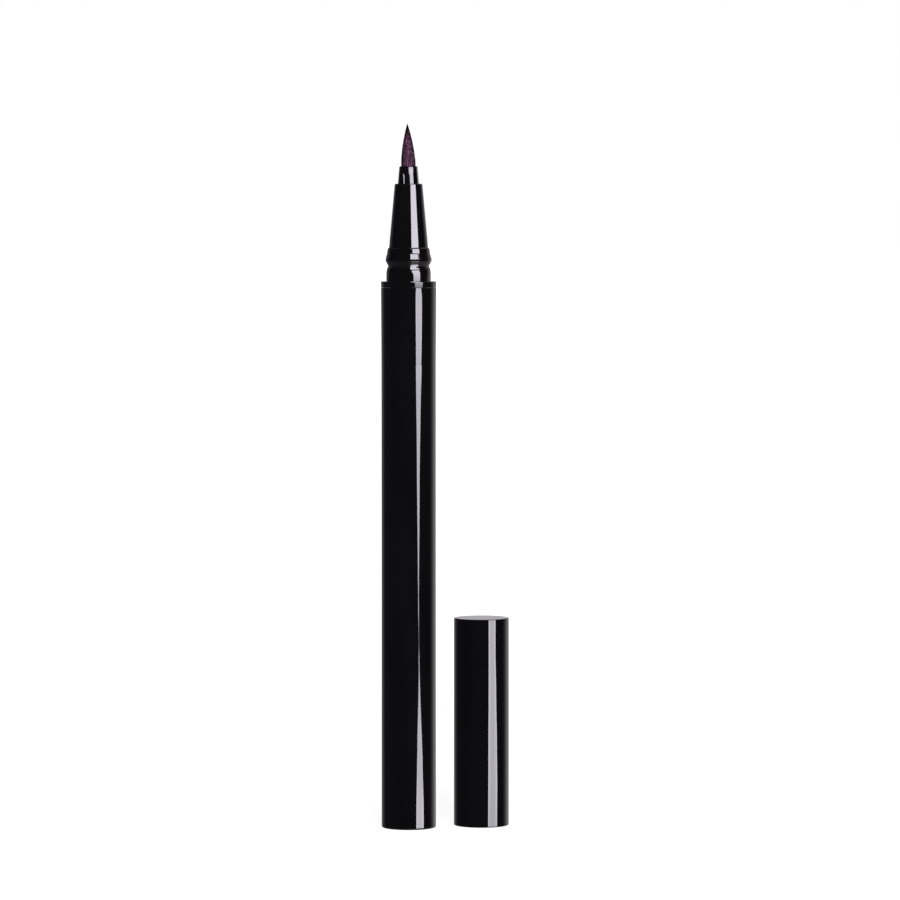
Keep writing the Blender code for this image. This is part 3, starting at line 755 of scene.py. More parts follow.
@dataclass
class BrushNozzle:
    """Tapered nose that holds the brush, with air flutes along its outside."""

    foot: float = 105.1 * MM
    tail: float = 2.25 * MM
    tail_top: float = 110.1 * MM
    shank: float = 1.95 * MM
    cone_top: float = 117.45 * MM
    lip: float = 1.66 * MM
    mouth: float = 120.62 * MM
    bore: float = 1.395 * MM
    flutes: int = 5
    flute_turn: float = math.radians(238.5)
    flute_half: float = 0.4 * MM
    flute_floor: float = 1.56 * MM
    flute_top: float = 119.62 * MM
    flute_end: float = 0.12 * MM
    flute_columns: int = 9
    land_columns: int = 24
    end_levels: int = 7

    def outline(self) -> tuple[np.ndarray, np.ndarray]:
        """Radius and height of the nose, with extra levels where the flutes end."""
        corners = [
            (self.bore, self.foot, CRISP_EDGE),
            (self.tail, self.foot, BROKEN_EDGE),
            (self.tail, self.tail_top, BROKEN_EDGE),
            (self.shank, self.tail_top, CRISP_EDGE),
            (self.shank, self.cone_top, 0.0),
            (self.lip, self.mouth, 0.14 * MM),
            (self.bore, self.mouth, 0.04 * MM),
        ]
        radius, height = rounded_outline(corners).T
        ends = self.flute_top + np.linspace(-1.0, 0.0, self.end_levels) * self.flute_end
        wall = np.flatnonzero(radius > (self.bore + self.flute_floor) / 2.0)
        added = np.interp(ends, height[wall], radius[wall])
        where = np.searchsorted(height[wall], ends) + wall[0]
        return np.insert(radius, where, added), np.insert(height, where, ends)

    def surface(self) -> Surface:
        """Turned nose whose outer wall drops to the floors of its flutes.

        Columns run round each share of the turn as flute wall, flute floor, flute wall and land.
        A flute column keeps its distance l from the flute's middle plane. On the wall its depth
        along that plane is sqrt(r^2 - l^2), and in the flute sqrt(f^2 - l^2) for the floor f, with a
        rounded rise between the two at the flute's upper end.

        Returns:
            The closed surface.
        """
        radius, height = (values[:, None] for values in self.outline())
        floor = np.linspace(-1.0, 1.0, self.flute_columns)
        aside = self.flute_half * np.pad(floor, 1, mode="edge")[None]
        sunk = np.pad(np.ones(self.flute_columns), 1)[None]
        outer = radius > self.flute_floor + 0.01 * MM
        rise = np.clip((self.flute_top - height) / self.flute_end, 0.0, 1.0)
        cut = sunk * outer * np.sqrt(1.0 - (1.0 - rise) ** 2)
        depth = np.sqrt(radius**2 - aside**2)
        depth = depth + cut * (np.sqrt(self.flute_floor**2 - aside**2) - depth)
        share = math.tau / self.flutes
        edge = np.arcsin(self.flute_half / radius)
        between = np.linspace(0.0, 1.0, self.land_columns + 2)[None, 1:-1]
        land = edge + between * (share - 2.0 * edge)
        turns = np.concatenate([np.arctan2(aside, depth), land], axis=1)
        reach = np.concatenate([np.hypot(aside, depth), radius + 0.0 * land], axis=1)
        starts = self.flute_turn + share * np.arange(self.flutes)
        every = (starts[None, :, None] + turns[:, None, :]).reshape(len(radius), -1)
        reach = np.tile(reach, (1, self.flutes))
        return grid_surface(round_grid(reach, every, height), True)

    def make(self, skin: Skin) -> list[Piece]:
        """Makes the nozzle."""
        shape = self.surface()
        return [make_piece("nozzle_nose", shape, skin, Body.PEN, ["brush_nozzle"])]


@dataclass
class Brush:
    """Tapered strands that draw together to a point, fused to their bonded root."""

    radius: float = 1.345 * MM
    length: float = 7.83 * MM
    mouth: float = 120.62 * MM
    root_top: float = 120.17 * MM
    root_foot: float = 116.17 * MM
    core_strands: int = 2000
    # Sparse outer strands, coloured near-black as painted shade on the brush's sides.
    outer_strands: int = 120
    core_share: float = 0.86
    levels: int = 11
    sides: int = 4
    core_girth: float = 0.034 * MM
    outer_girth: float = 0.022 * MM
    power: float = 1.8
    root_sunk: float = 0.02 * MM
    root_sides: int = 48
    wave: float = 0.015
    wave_turns: float = 1.3
    swing: float = 0.09
    swing_turns: float = 1.1
    lean: float = 0.22 * MM
    lean_power: float = 0.8
    end_drop: float = 0.02
    end_scatter: float = 0.07
    level_power: float = 0.85
    girth_scatter: float = 0.4
    spread_power: float = 0.6
    seed: int = 11

    def drawn(self, level: np.ndarray) -> np.ndarray:
        """Width of the brush at a share of its length, as a share of its root."""
        return 1.0 - np.clip(level, 0.0, 1.0) ** self.power

    def strand_field(self) -> tuple[Surface, np.ndarray, np.ndarray]:
        """Every strand as one array.

        A core strand i of n starts at the sunflower place, with share c sqrt((i + 0.5) / n) of
        the radius and turn i times the golden angle. Outer strands fill the rest of the radius
        more thinly and get tone 0, which colours them near-black as painted shade along the brush's
        sides. At share v of its own length a strand lies at its share of the drawn width, with a
        slow wave aside, and its girth narrows as the square root of 1 - v. Strands end a little
        lower the further out they stand, and the whole tip leans a little to the left.

        Returns:
            The strands, each point's tone (zero on the outer strands, as painted shade on the brush's
            sides), and each point's way to the brush's point.
        """
        draws = np.random.default_rng(self.seed)
        count = self.core_strands + self.outer_strands
        index = np.arange(count)
        core = index < self.core_strands
        filled = self.core_share * np.sqrt((index + 0.5) / self.core_strands)
        spread = self.core_share + (1.0 - self.core_share) * draws.random(count) ** self.spread_power
        share = np.where(core, filled, spread)
        # Outer strands get tone 0, which turns them near-black as painted shade along the brush's
        # sides.
        shade = np.where(core, draws.random(count), 0.0)
        odd = draws.random(count)
        girth = np.where(core, self.core_girth, self.outer_girth)
        girth = girth * (1.0 + self.girth_scatter * (odd - 0.5))
        end = 1.0 - share * (self.end_drop + self.end_scatter * draws.random(count))
        way = np.linspace(0.0, 1.0, self.levels) ** self.level_power
        rise = self.mouth - self.root_top + self.length * end
        height = self.root_top + way[None] * rise[:, None]
        level = np.clip((height - self.mouth) / self.length, 0.0, 1.0)
        waves = np.sin(math.tau * (self.wave_turns * way[None] + odd[:, None]))
        wave = self.wave * waves * share[:, None]
        inset = 1.0 - girth / self.radius
        across = self.radius * (share * inset)[:, None] * (1.0 + wave) * self.drawn(level)
        turn = (index * math.pi * (3.0 - math.sqrt(5.0)))[:, None]
        swings = np.sin(math.tau * (self.swing_turns * way[None] + odd[:, None]))
        swing = turn + self.swing * swings
        narrowed = girth[:, None] * np.sqrt(1.0 - way)[None]
        ring = math.tau * (np.arange(self.sides)[None] / self.sides + odd[:, None])[:, None]
        x = (across * np.cos(swing) - self.lean * level**self.lean_power)[..., None]
        x = x + narrowed[..., None] * np.cos(ring)
        y = (across * np.sin(swing))[..., None] + narrowed[..., None] * np.sin(ring)
        grid = np.stack([x, y, height[..., None] + 0.0 * x], axis=-1)
        points_each = (self.levels - 1) * self.sides + 1
        steps = np.repeat(level[:, :-1], self.sides, axis=1)
        reached = np.concatenate([steps, level[:, -1:]], axis=1).reshape(-1)
        return self.strand_faces(grid), np.repeat(shade, points_each), reached

    def strand_faces(self, grid: np.ndarray) -> Surface:
        """Closes every strand at its foot and at its point.

        Args:
            grid: points by strand, level, side and coordinate, with the last level at a point.

        Returns:
            All strands as one surface.
        """
        strands, levels, sides = grid.shape[:3]
        body = grid[:, :-1].reshape(strands, -1, 3)
        points = np.concatenate([body, grid[:, -1, :1]], axis=1)
        ring = np.arange(sides)
        after = np.roll(ring, -1)
        steps = (np.arange(levels - 2) * sides)[:, None]
        quads = np.stack([steps + ring, steps + after, steps + sides + after, steps + sides + ring], -1)
        last = (levels - 2) * sides
        tips = np.stack([last + ring, last + after, np.full(sides, last + sides)], -1)
        foot = ring[::-1][None]
        offset = (np.arange(strands) * points.shape[1])[:, None, None]
        faces = []
        for corners in (quads.reshape(-1, 4), tips, foot):
            faces += (corners[None] + offset).reshape(-1, corners.shape[1]).tolist()
        return Surface(points.reshape(-1, 3), faces)

    def root(self) -> Surface:
        """Bonded root that the strands grow from, with their feet a little inside it."""
        top = self.root_top + self.root_sunk
        outline = [
            (0.0, self.root_foot, 0.0),
            (self.radius, self.root_foot, BROKEN_EDGE),
            (self.radius, top, CRISP_EDGE),
            (0.0, top, 0.0),
        ]
        return turned_surface(outline, self.root_sides)

    def make(self, skin: Skin) -> list[Piece]:
        """Makes the brush and writes each strand's tone and way on its points; the outer strands' tone
        of zero gives their painted shade.
        """
        strands, shade, way = self.strand_field()
        root = self.root()
        shape = joined([strands, root])
        piece = make_piece("brush_strands", shape, skin, Body.PEN, ["brush_bristles"])
        extra = np.zeros(len(root.points))
        store(piece.data, "strand_tone_and_rim_shade", np.concatenate([shade, extra]))
        store(piece.data, "way_to_point", np.concatenate([way, extra]))
        return [piece]


@dataclass
class InkFeed:
    """Fibre rod from the ink tank to the brush, its tube, and the ring that centres its tip."""

    rod: float = 0.8 * MM
    rod_foot: float = 74.7 * MM
    rod_top: float = 116.12 * MM
    rod_tip: float = 0.4 * MM
    gap: float = 0.05 * MM
    tube: float = 1.10 * MM
    tube_foot: float = 76.2 * MM
    tube_top: float = 111.57 * MM
    ring: float = 1.345 * MM
    ring_foot: float = 111.62 * MM

    def rod_surface(self) -> Surface:
        """Round rod with a tapered tip against the brush root."""
        outline = [
            (0.0, self.rod_foot, 0.0),
            (self.rod, self.rod_foot, 0.04 * MM),
            (self.rod, self.rod_top - self.rod_tip, SOFT_EDGE),
            (self.rod - self.rod_tip, self.rod_top, BROKEN_EDGE),
            (0.0, self.rod_top, 0.0),
        ]
        return turned_surface(outline, SMALL_SIDES)

    def sleeve_surface(self, outer: float, foot: float, top: float) -> Surface:
        """Ring round the rod between two heights.

        Args:
            outer: the ring's outer radius.
            foot: its lower height.
            top: its upper height.

        Returns:
            The closed surface, with broken edges.
        """
        bore = self.rod + self.gap
        outline = [
            (bore, foot, CRISP_EDGE),
            (outer, foot, BROKEN_EDGE),
            (outer, top, BROKEN_EDGE),
            (bore, top, CRISP_EDGE),
        ]
        return turned_surface(outline, SMALL_SIDES)

    def make(self, fibre: Skin, plain: Skin) -> list[Piece]:
        """Makes the rod, its tube and its ring."""
        tube = self.sleeve_surface(self.tube, self.tube_foot, self.tube_top)
        ring = self.sleeve_surface(self.ring, self.ring_foot, self.rod_top)
        pen, natural = Body.PEN, Slot.NATURAL
        return [
            make_piece("feed_rod", self.rod_surface(), fibre, pen, ["feed_core"]),
            make_piece("feed_sleeve", tube, plain, pen, ["feed_core_tube"]),
            make_piece("root_ring", ring, plain, pen, ["brush_root_collar"]),
        ]


@dataclass
class SealRing:
    """Rubber ring of round section in a groove, with the parting line of its mould."""

    name: str
    node: str
    level: float
    middle: float = 3.28 * MM
    section: float = 0.32 * MM
    flash: float = 0.006 * MM
    flash_spread: float = 0.06

    def surface(self) -> Surface:
        """Round section carried round the axis.

        At section turn s the section's radius is r + f e^(-(d/w)^2), with d the angle from the
        parting line, which runs round the ring's inner and outer middle.

        Returns:
            The closed surface.
        """
        section = np.linspace(0.0, math.tau, 48, endpoint=False)[:, None]
        raised = self.section + self.flash * np.exp(-((np.sin(section) / self.flash_spread) ** 2))
        turns = np.linspace(0.0, math.tau, 160, endpoint=False)[None]
        reach = self.middle + (raised - self.flash) * np.cos(section)
        height = self.level + (raised - self.flash) * np.sin(section)
        return grid_surface(round_grid(reach, turns, height), True)

    def make(self, skin: Skin) -> list[Piece]:
        """Makes the ring."""
        return [make_piece(self.name, self.surface(), skin, Body.PEN, [self.node])]


@dataclass
class MixingBall:
    """Steel ball that stirs the ink."""

    name: str
    node: str
    body: Body
    middle: Point
    radius: float = 2.0 * MM

    def surface(self) -> Surface:
        """Half circle turned round the upright axis: radius R cos(a), height R sin(a)."""
        rise = np.linspace(-math.pi / 2.0, math.pi / 2.0, 49)[:, None]
        turns = np.linspace(0.0, math.tau, 96, endpoint=False)[None]
        grid = round_grid(self.radius * np.cos(rise), turns, self.radius * np.sin(rise))
        return grid_surface(grid, False).moved(self.middle)

    def make(self, skin: Skin) -> list[Piece]:
        """Makes the ball."""
        return [make_piece(self.name, self.surface(), skin, self.body, [self.node])]


@dataclass
class Cap:
    """Outer shell of the cap with a snap bead in its mouth, and the ring that holds the inner cap."""

    axis: Point = CAP_AXIS
    length: float = 38.1 * MM
    radius: float = 5.02 * MM
    wall: float = 0.79 * MM
    ceiling: float = 36.9 * MM
    bead_level: float = 2.8 * MM
    bead_half: float = 0.6 * MM
    bead: float = 4.03 * MM
    lead_in: float = 0.15 * MM
    ring_foot: float = 6.0163 * MM
    ring_top: float = 7.0163 * MM
    ring_bore: float = 3.69 * MM
    ring_gap: float = 0.05 * MM

    @property
    def bore(self) -> float:
        """Radius of the hollow."""
        return self.radius - self.wall

    def shell(self) -> Surface:
        """Shell from one outline that starts on the axis at the ceiling."""
        outline = [
            (0.0, self.ceiling, 0.0),
            (self.bore, self.ceiling, 0.25 * MM),
            (self.bore, self.bead_level + self.bead_half, SOFT_EDGE),
            (self.bead, self.bead_level, 0.3 * MM),
            (self.bore, self.bead_level - self.bead_half, SOFT_EDGE),
            (self.bore, self.lead_in, BROKEN_EDGE),
            (self.bore + self.lead_in, 0.0, BROKEN_EDGE),
            (self.radius, 0.0, LIP_EDGE),
            (self.radius, self.length, 0.12 * MM),
            (0.0, self.length, 0.0),
        ]
        return turned_surface(outline, OUTER_SIDES).moved(self.axis)

    def retainer(self) -> Surface:
        """Plain ring pressed into the bore."""
        outer = self.bore - self.ring_gap
        outline = [
            (self.ring_bore, self.ring_foot, SOFT_EDGE),
            (outer, self.ring_foot, SOFT_EDGE),
            (outer, self.ring_top, BROKEN_EDGE),
            (self.ring_bore, self.ring_top, BROKEN_EDGE),
        ]
        return turned_surface(outline, INNER_SIDES).moved(self.axis)

    def make(self, skin: Skin, inside: Skin) -> list[Piece]:
        """Makes the shell and its ring."""
        shell = make_piece("cap_body", self.shell(), skin, Body.CAP, ["cap_shell"])
        ring = make_piece(
            "cap_ring", self.retainer(), inside, Body.CAP, ["cap_retainer_ring"]
        )
        return [shell, ring]


@dataclass
class InnerCap:
    """Sliding inner cap with guide bands and the soft seal in its mouth."""

    axis: Point = CAP_AXIS
    foot: float = 7.0663 * MM
    top: float = 30.0 * MM
    ceiling: float = 29.0 * MM
    band: float = 4.13 * MM
    band_height: float = 2.4 * MM
    band_slope: float = 0.3 * MM
    body: float = 3.83 * MM
    bore: float = 3.28 * MM
    seal_seat: float = 3.78 * MM
    seal_top: float = 8.6163 * MM
    boss: float = 2.43 * MM
    boss_top: float = 31.0 * MM
    seal: float = 3.33 * MM
    seal_wall: float = 0.4 * MM
    seal_length: float = 1.5 * MM

    def cup(self) -> Surface:
        """Closed cup with a band at either end and a boss for the spring."""
        neck = self.band_height + self.band_slope
        outline = [
            (0.0, self.ceiling, 0.0),
            (self.bore, self.ceiling, 0.4 * MM),
            (self.bore, self.seal_top, CRISP_EDGE),
            (self.seal_seat, self.seal_top, BROKEN_EDGE),
            (self.seal_seat, self.foot, BROKEN_EDGE),
            (self.band, self.foot, SOFT_EDGE),
            (self.band, self.foot + self.band_height, SOFT_EDGE),
            (self.body, self.foot + neck, SOFT_EDGE),
            (self.body, self.top - neck, SOFT_EDGE),
            (self.band, self.top - self.band_height, SOFT_EDGE),
            (self.band, self.top, LIP_EDGE),
            (self.boss, self.top, SOFT_EDGE),
            (self.boss, self.boss_top, LIP_EDGE),
            (0.0, self.boss_top, 0.0),
        ]
        return turned_surface(outline, INNER_SIDES).moved(self.axis)

    def seal_ring(self) -> Surface:
        """Soft ring with rounded lips."""
        outer, top = self.seal + self.seal_wall, self.foot + self.seal_length
        outline = [
            (self.seal, self.foot, LIP_EDGE),
            (outer, self.foot, SOFT_EDGE),
            (outer, top, BROKEN_EDGE),
            (self.seal, top, SOFT_EDGE),
        ]
        return turned_surface(outline, INNER_SIDES).moved(self.axis)

    def make(self, skin: Skin, soft: Skin) -> list[Piece]:
        """Makes the inner cap and its seal."""
        body = Body.INNER_CAP
        cup = make_piece("inner_cap_cup", self.cup(), skin, body, ["inner_cap"])
        seal = make_piece(
            "inner_cap_lip", self.seal_ring(), soft, body, ["inner_cap_seal"]
        )
        return [cup, seal]


@dataclass
class CapSpring:
    """Steel spring that pushes the inner cap down, closed at both ends."""

    axis: Point = CAP_AXIS
    foot: float = 30.05 * MM
    top: float = 36.85 * MM
    coil: float = 2.9 * MM
    wire: float = 0.22 * MM
    curls: int = 5
    press: float = 1.5 * MM
    steps: int = 36
    sides: int = 16
    closed_pitch: float = 0.3

    def surface(self) -> Surface:
        """Round wire along a helix: its middle is (R cos t, R sin t, z(t)).

        The rise of z is slow over the first and the last curl. A ring of the wire's radius stands
        square to the path at each point, and both cut ends close on a point.
        """
        turn = np.linspace(0.0, self.curls, self.steps * self.curls + 1)
        pitch = self.closed_pitch + np.clip(2.0 * np.minimum(turn, self.curls - turn) - 1.0, 0.0, 1.0)
        rise = np.concatenate([[0.0], np.cumsum(pitch[1:] + pitch[:-1])])
        rise *= (self.top - self.foot - 2.0 * self.wire) / rise[-1]
        angle = math.tau * turn
        out = np.stack([np.cos(angle), np.sin(angle), 0.0 * angle], axis=-1)
        middle = self.coil * out
        middle[:, 2] = self.foot + self.wire + rise
        along = np.gradient(middle, axis=0)
        along /= np.linalg.norm(along, axis=1, keepdims=True)
        aside = np.cross(along, out)
        girth = np.pad(np.full(len(turn), self.wire), 1)
        ends = np.r_[0, np.arange(len(turn)), len(turn) - 1]
        middle, out, aside = middle[ends], out[ends], aside[ends]
        ring = np.linspace(0.0, math.tau, self.sides, endpoint=False)[None, :, None]
        round_wire = np.cos(ring) * out[:, None] + np.sin(ring) * aside[:, None]
        grid = middle[:, None] + girth[:, None, None] * round_wire
        return grid_surface(grid, False).moved(self.axis)

    def make(self, skin: Skin) -> list[Piece]:
        """Makes the spring on a mesh of its own."""
        nodes = ["inner_cap_spring"]
        spring = make_piece("cap_spring", self.surface(), skin, Body.CAP, nodes)
        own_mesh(spring)
        return [spring]


@dataclass(frozen=True)
class Softbox:
    """Glowing panel on a cylinder round the pen or the cap that shows only as a reflection.

    An upright wall sends a ray from the eye on to twice the turn of its own normal, and as far
    down again as it came, so the panel's outline follows from the reflection that is wanted. Each
    row holds a height, the sine of the wall's turn at the left and the right edge of the
    reflection, and the glow. What the panel lights is named by its sub-assembly.
    """

    name: str
    lights: str
    distance: float
    edge_glow: float
    axis: Point
    rows: tuple[tuple[float, float, float, float], ...]
    row_steps: int = 4
    columns: int = 25
    tint: Colour = colour(0.99, 0.955, 1.065)

    def surface_points(self) -> tuple[np.ndarray, np.ndarray, np.ndarray]:
        """Grid of points by height and turn, with each point's share across the panel and glow."""
        table = np.array(self.rows)
        knots = np.linspace(0.0, 1.0, len(table))
        along = np.linspace(0.0, 1.0, self.row_steps * (len(table) - 1) + 1)
        height, left, right, glow = (np.interp(along, knots, column) for column in table.T)
        left, right = 2.0 * np.arcsin(left), 2.0 * np.arcsin(right)
        across = np.linspace(0.0, 1.0, self.columns)[None]
        turn = left[:, None] + across * (right - left)[:, None]
        x = self.axis[0] + self.distance * np.sin(turn)
        y = self.axis[1] - self.distance * np.cos(turn)
        grid = np.stack([x, y, height[:, None] + 0.0 * turn], axis=-1)
        return grid, across + 0.0 * turn, glow[:, None] + 0.0 * turn

    def material(self) -> Skin:
        """Clear sheet with a glow that may be stronger along both sides."""
        made = bpy.data.materials.new(self.name)
        made.use_nodes = True
        recipe = Recipe(made.node_tree)
        across = recipe.stored("across")
        side = (across - 0.5) * (across - 0.5) * 4.0
        strength = recipe.stored("glow") + self.edge_glow * side * side
        recipe.glowing(recipe.node("ShaderNodeBsdfTransparent"), strength, self.tint)
        made.cycles.emission_sampling = "NONE"
        return made

    def make(self, lit: Sequence[Piece]) -> Piece:
        """Makes the panel, seen in the given pieces alone."""
        grid, across, glow = self.surface_points()
        rows, columns = grid.shape[:2]
        place = np.arange(rows * columns).reshape(rows, columns)
        cells = np.stack([place[:-1, :-1], place[:-1, 1:], place[1:, 1:], place[1:, :-1]], -1)
        mesh = bpy.data.meshes.new(self.name)
        mesh.from_pydata(grid.reshape(-1, 3).tolist(), [], cells.reshape(-1, 4).tolist())
        store(mesh, "across", across)
        store(mesh, "glow", glow)
        mesh.materials.append(self.material())
        panel = placed(self.name, mesh)
        panel.visible_camera = False
        panel.visible_diffuse = False
        panel.visible_transmission = False
        panel.visible_shadow = False
        receivers = bpy.data.collections.new(f"{self.name}_receivers")
        for piece in lit:
            receivers.objects.link(piece)
        panel.light_linking.receiver_collection = receivers
        return panel


PANELS = (
    Softbox(
        name="barrel_panel",
        lights="barrel",
        distance=600.0 * MM,
        edge_glow=3.0,
        axis=PEN_AXIS,
        rows=(
            (0.3, 0.281, 0.445, 12.5), (0.0788, 0.281, 0.445, 12.5), (0.0783, 0.274, 0.464, 12.5),
            (0.0778, 0.26, 0.478, 12.5), (0.0752, 0.259, 0.482, 12.5), (0.0649, 0.27, 0.48, 12.0),
            (0.0579, 0.278, 0.466, 11.5), (0.0577, 0.278, 0.455, 11.0), (0.0506, 0.289, 0.437, 11.0),
            (0.0436, 0.3, 0.426, 11.0), (0.0365, 0.307, 0.411, 11.0), (0.0294, 0.311, 0.4, 11.0),
            (0.0223, 0.318, 0.4, 11.0), (0.0152, 0.329, 0.393, 11.0), (-0.0061, 0.353, 0.37, 11.0),
            (-0.0085, 0.349, 0.377, 11.0), (-0.011, 0.357, 0.378, 10.0), (-0.0129, 0.359, 0.38, 6.0),
            (-0.0158, 0.362, 0.382, 3.4), (-0.0188, 0.368, 0.385, 1.7), (-0.0206, 0.37, 0.387, 2.4),
            (-0.0218, 0.371, 0.389, 11.0), (-0.0247, 0.369, 0.395, 11.5), (-0.0259, 0.378, 0.395, 11.5),
            (-0.0295, 0.371, 0.405, 11.5), (-0.0336, 0.362, 0.42, 11.5), (-0.0366, 0.36, 0.429, 11.5),
            (-0.038, 0.353, 0.435, 11.5), (-0.0452, 0.329, 0.47, 11.5), (-0.0523, 0.318, 0.503, 11.0),
            (-0.0594, 0.304, 0.517, 11.0), (-0.0665, 0.285, 0.547, 12.0), (-0.0737, 0.282, 0.55, 12.0),
            (-0.09, 0.282, 0.55, 12.0),
        ),
    ),
    Softbox(
        name="nose_panel",
        lights="front",
        distance=630.0 * MM,
        edge_glow=0.0,
        axis=PEN_AXIS,
        rows=(
            (-0.8, 0.144, 0.535, 0.7), (-0.605, 0.144, 0.535, 0.7), (-0.59, 0.144, 0.535, 13.5),
            (-0.25, 0.144, 0.535, 13.5), (-0.24, 0.144, 0.535, 0.0), (0.06, 0.243, 0.506, 0.0),
            (0.065, 0.243, 0.506, 4.3), (0.0865, 0.243, 0.506, 4.3), (0.0868, 0.226, 0.515, 14.5),
            (0.13, 0.226, 0.515, 14.5), (0.18, 0.17, 0.51, 15.0), (0.2, 0.158, 0.508, 16.4),
            (0.215, 0.158, 0.5, 16.4), (0.222, 0.155, 0.488, 16.4), (0.236, 0.14, 0.47, 16.4),
            (0.24, 0.155, 0.51, 15.6), (0.256, 0.155, 0.51, 15.6), (0.26, 0.195, 0.51, 15.6),
            (0.28, 0.195, 0.51, 15.6), (0.29, 0.18, 0.51, 0.9), (0.42, 0.14, 0.53, 0.9),
            (0.43, 0.095, 0.53, 15.6), (0.6, 0.095, 0.53, 15.6), (0.72, 0.12, 0.48, 15.6),
            (1.2, 0.12, 0.5, 15.6),
        ),
    ),
    Softbox(
        name="cap_panel",
        lights="cap",
        distance=570.0 * MM,
        edge_glow=6.0,
        axis=CAP_AXIS,
        rows=(
            (0.2, 0.263, 0.507, 10.0), (-0.009, 0.263, 0.507, 10.5), (-0.0141, 0.263, 0.507, 10.5),
            (-0.0212, 0.266, 0.507, 10.5), (-0.0283, 0.263, 0.529, 10.5), (-0.0354, 0.263, 0.536, 10.4),
            (-0.0426, 0.255, 0.556, 10.3), (-0.0497, 0.255, 0.563, 10.0), (-0.0568, 0.252, 0.574, 10.0),
            (-0.064, 0.248, 0.569, 9.6), (-0.0711, 0.245, 0.564, 9.2), (-0.09, 0.245, 0.564, 9.2),
        ),
    ),
    Softbox(
        name="nozzle_panel",
        lights="nozzle",
        distance=100.0 * MM,
        edge_glow=0.0,
        axis=PEN_AXIS,
        rows=(
            (0.13, 0.15, 0.48, 15.0), (0.1368, 0.15, 0.48, 15.0), (0.1376, 0.03, 0.45, 15.0),
            (0.142, 0.03, 0.45, 15.0),
        ),
    ),
    Softbox(
        name="nozzle_side_panel",
        lights="nozzle",
        distance=105.0 * MM,
        edge_glow=0.0,
        axis=PEN_AXIS,
        rows=(
            (0.105, 0.86, 0.99, 1.3), (0.1372, 0.86, 0.99, 1.3),
        ),
    ),
    Softbox(
        name="flute_panel",
        lights="nozzle",
        distance=95.0 * MM,
        edge_glow=0.0,
        axis=PEN_AXIS,
        rows=(
            (0.11, -0.7, -0.46, 8.5), (0.12, -0.7, -0.46, 8.5),
        ),
    ),
)


@dataclass(frozen=True)
class RoomBand:
    """Brightness of the room within one band of heights, by turn in degrees."""

    levels: tuple[tuple[float, float], ...]

    def shade(self, recipe: Recipe, turn: Value) -> Value:
        """Grey level for a turn from 0 at the far left to 1 at the far right."""
        stops = [(degrees / 360.0 + 0.5, level) for degrees, level in self.levels]
        return recipe.node("ShaderNodeValToRGB", {"stops": stops}, {"Fac": turn})


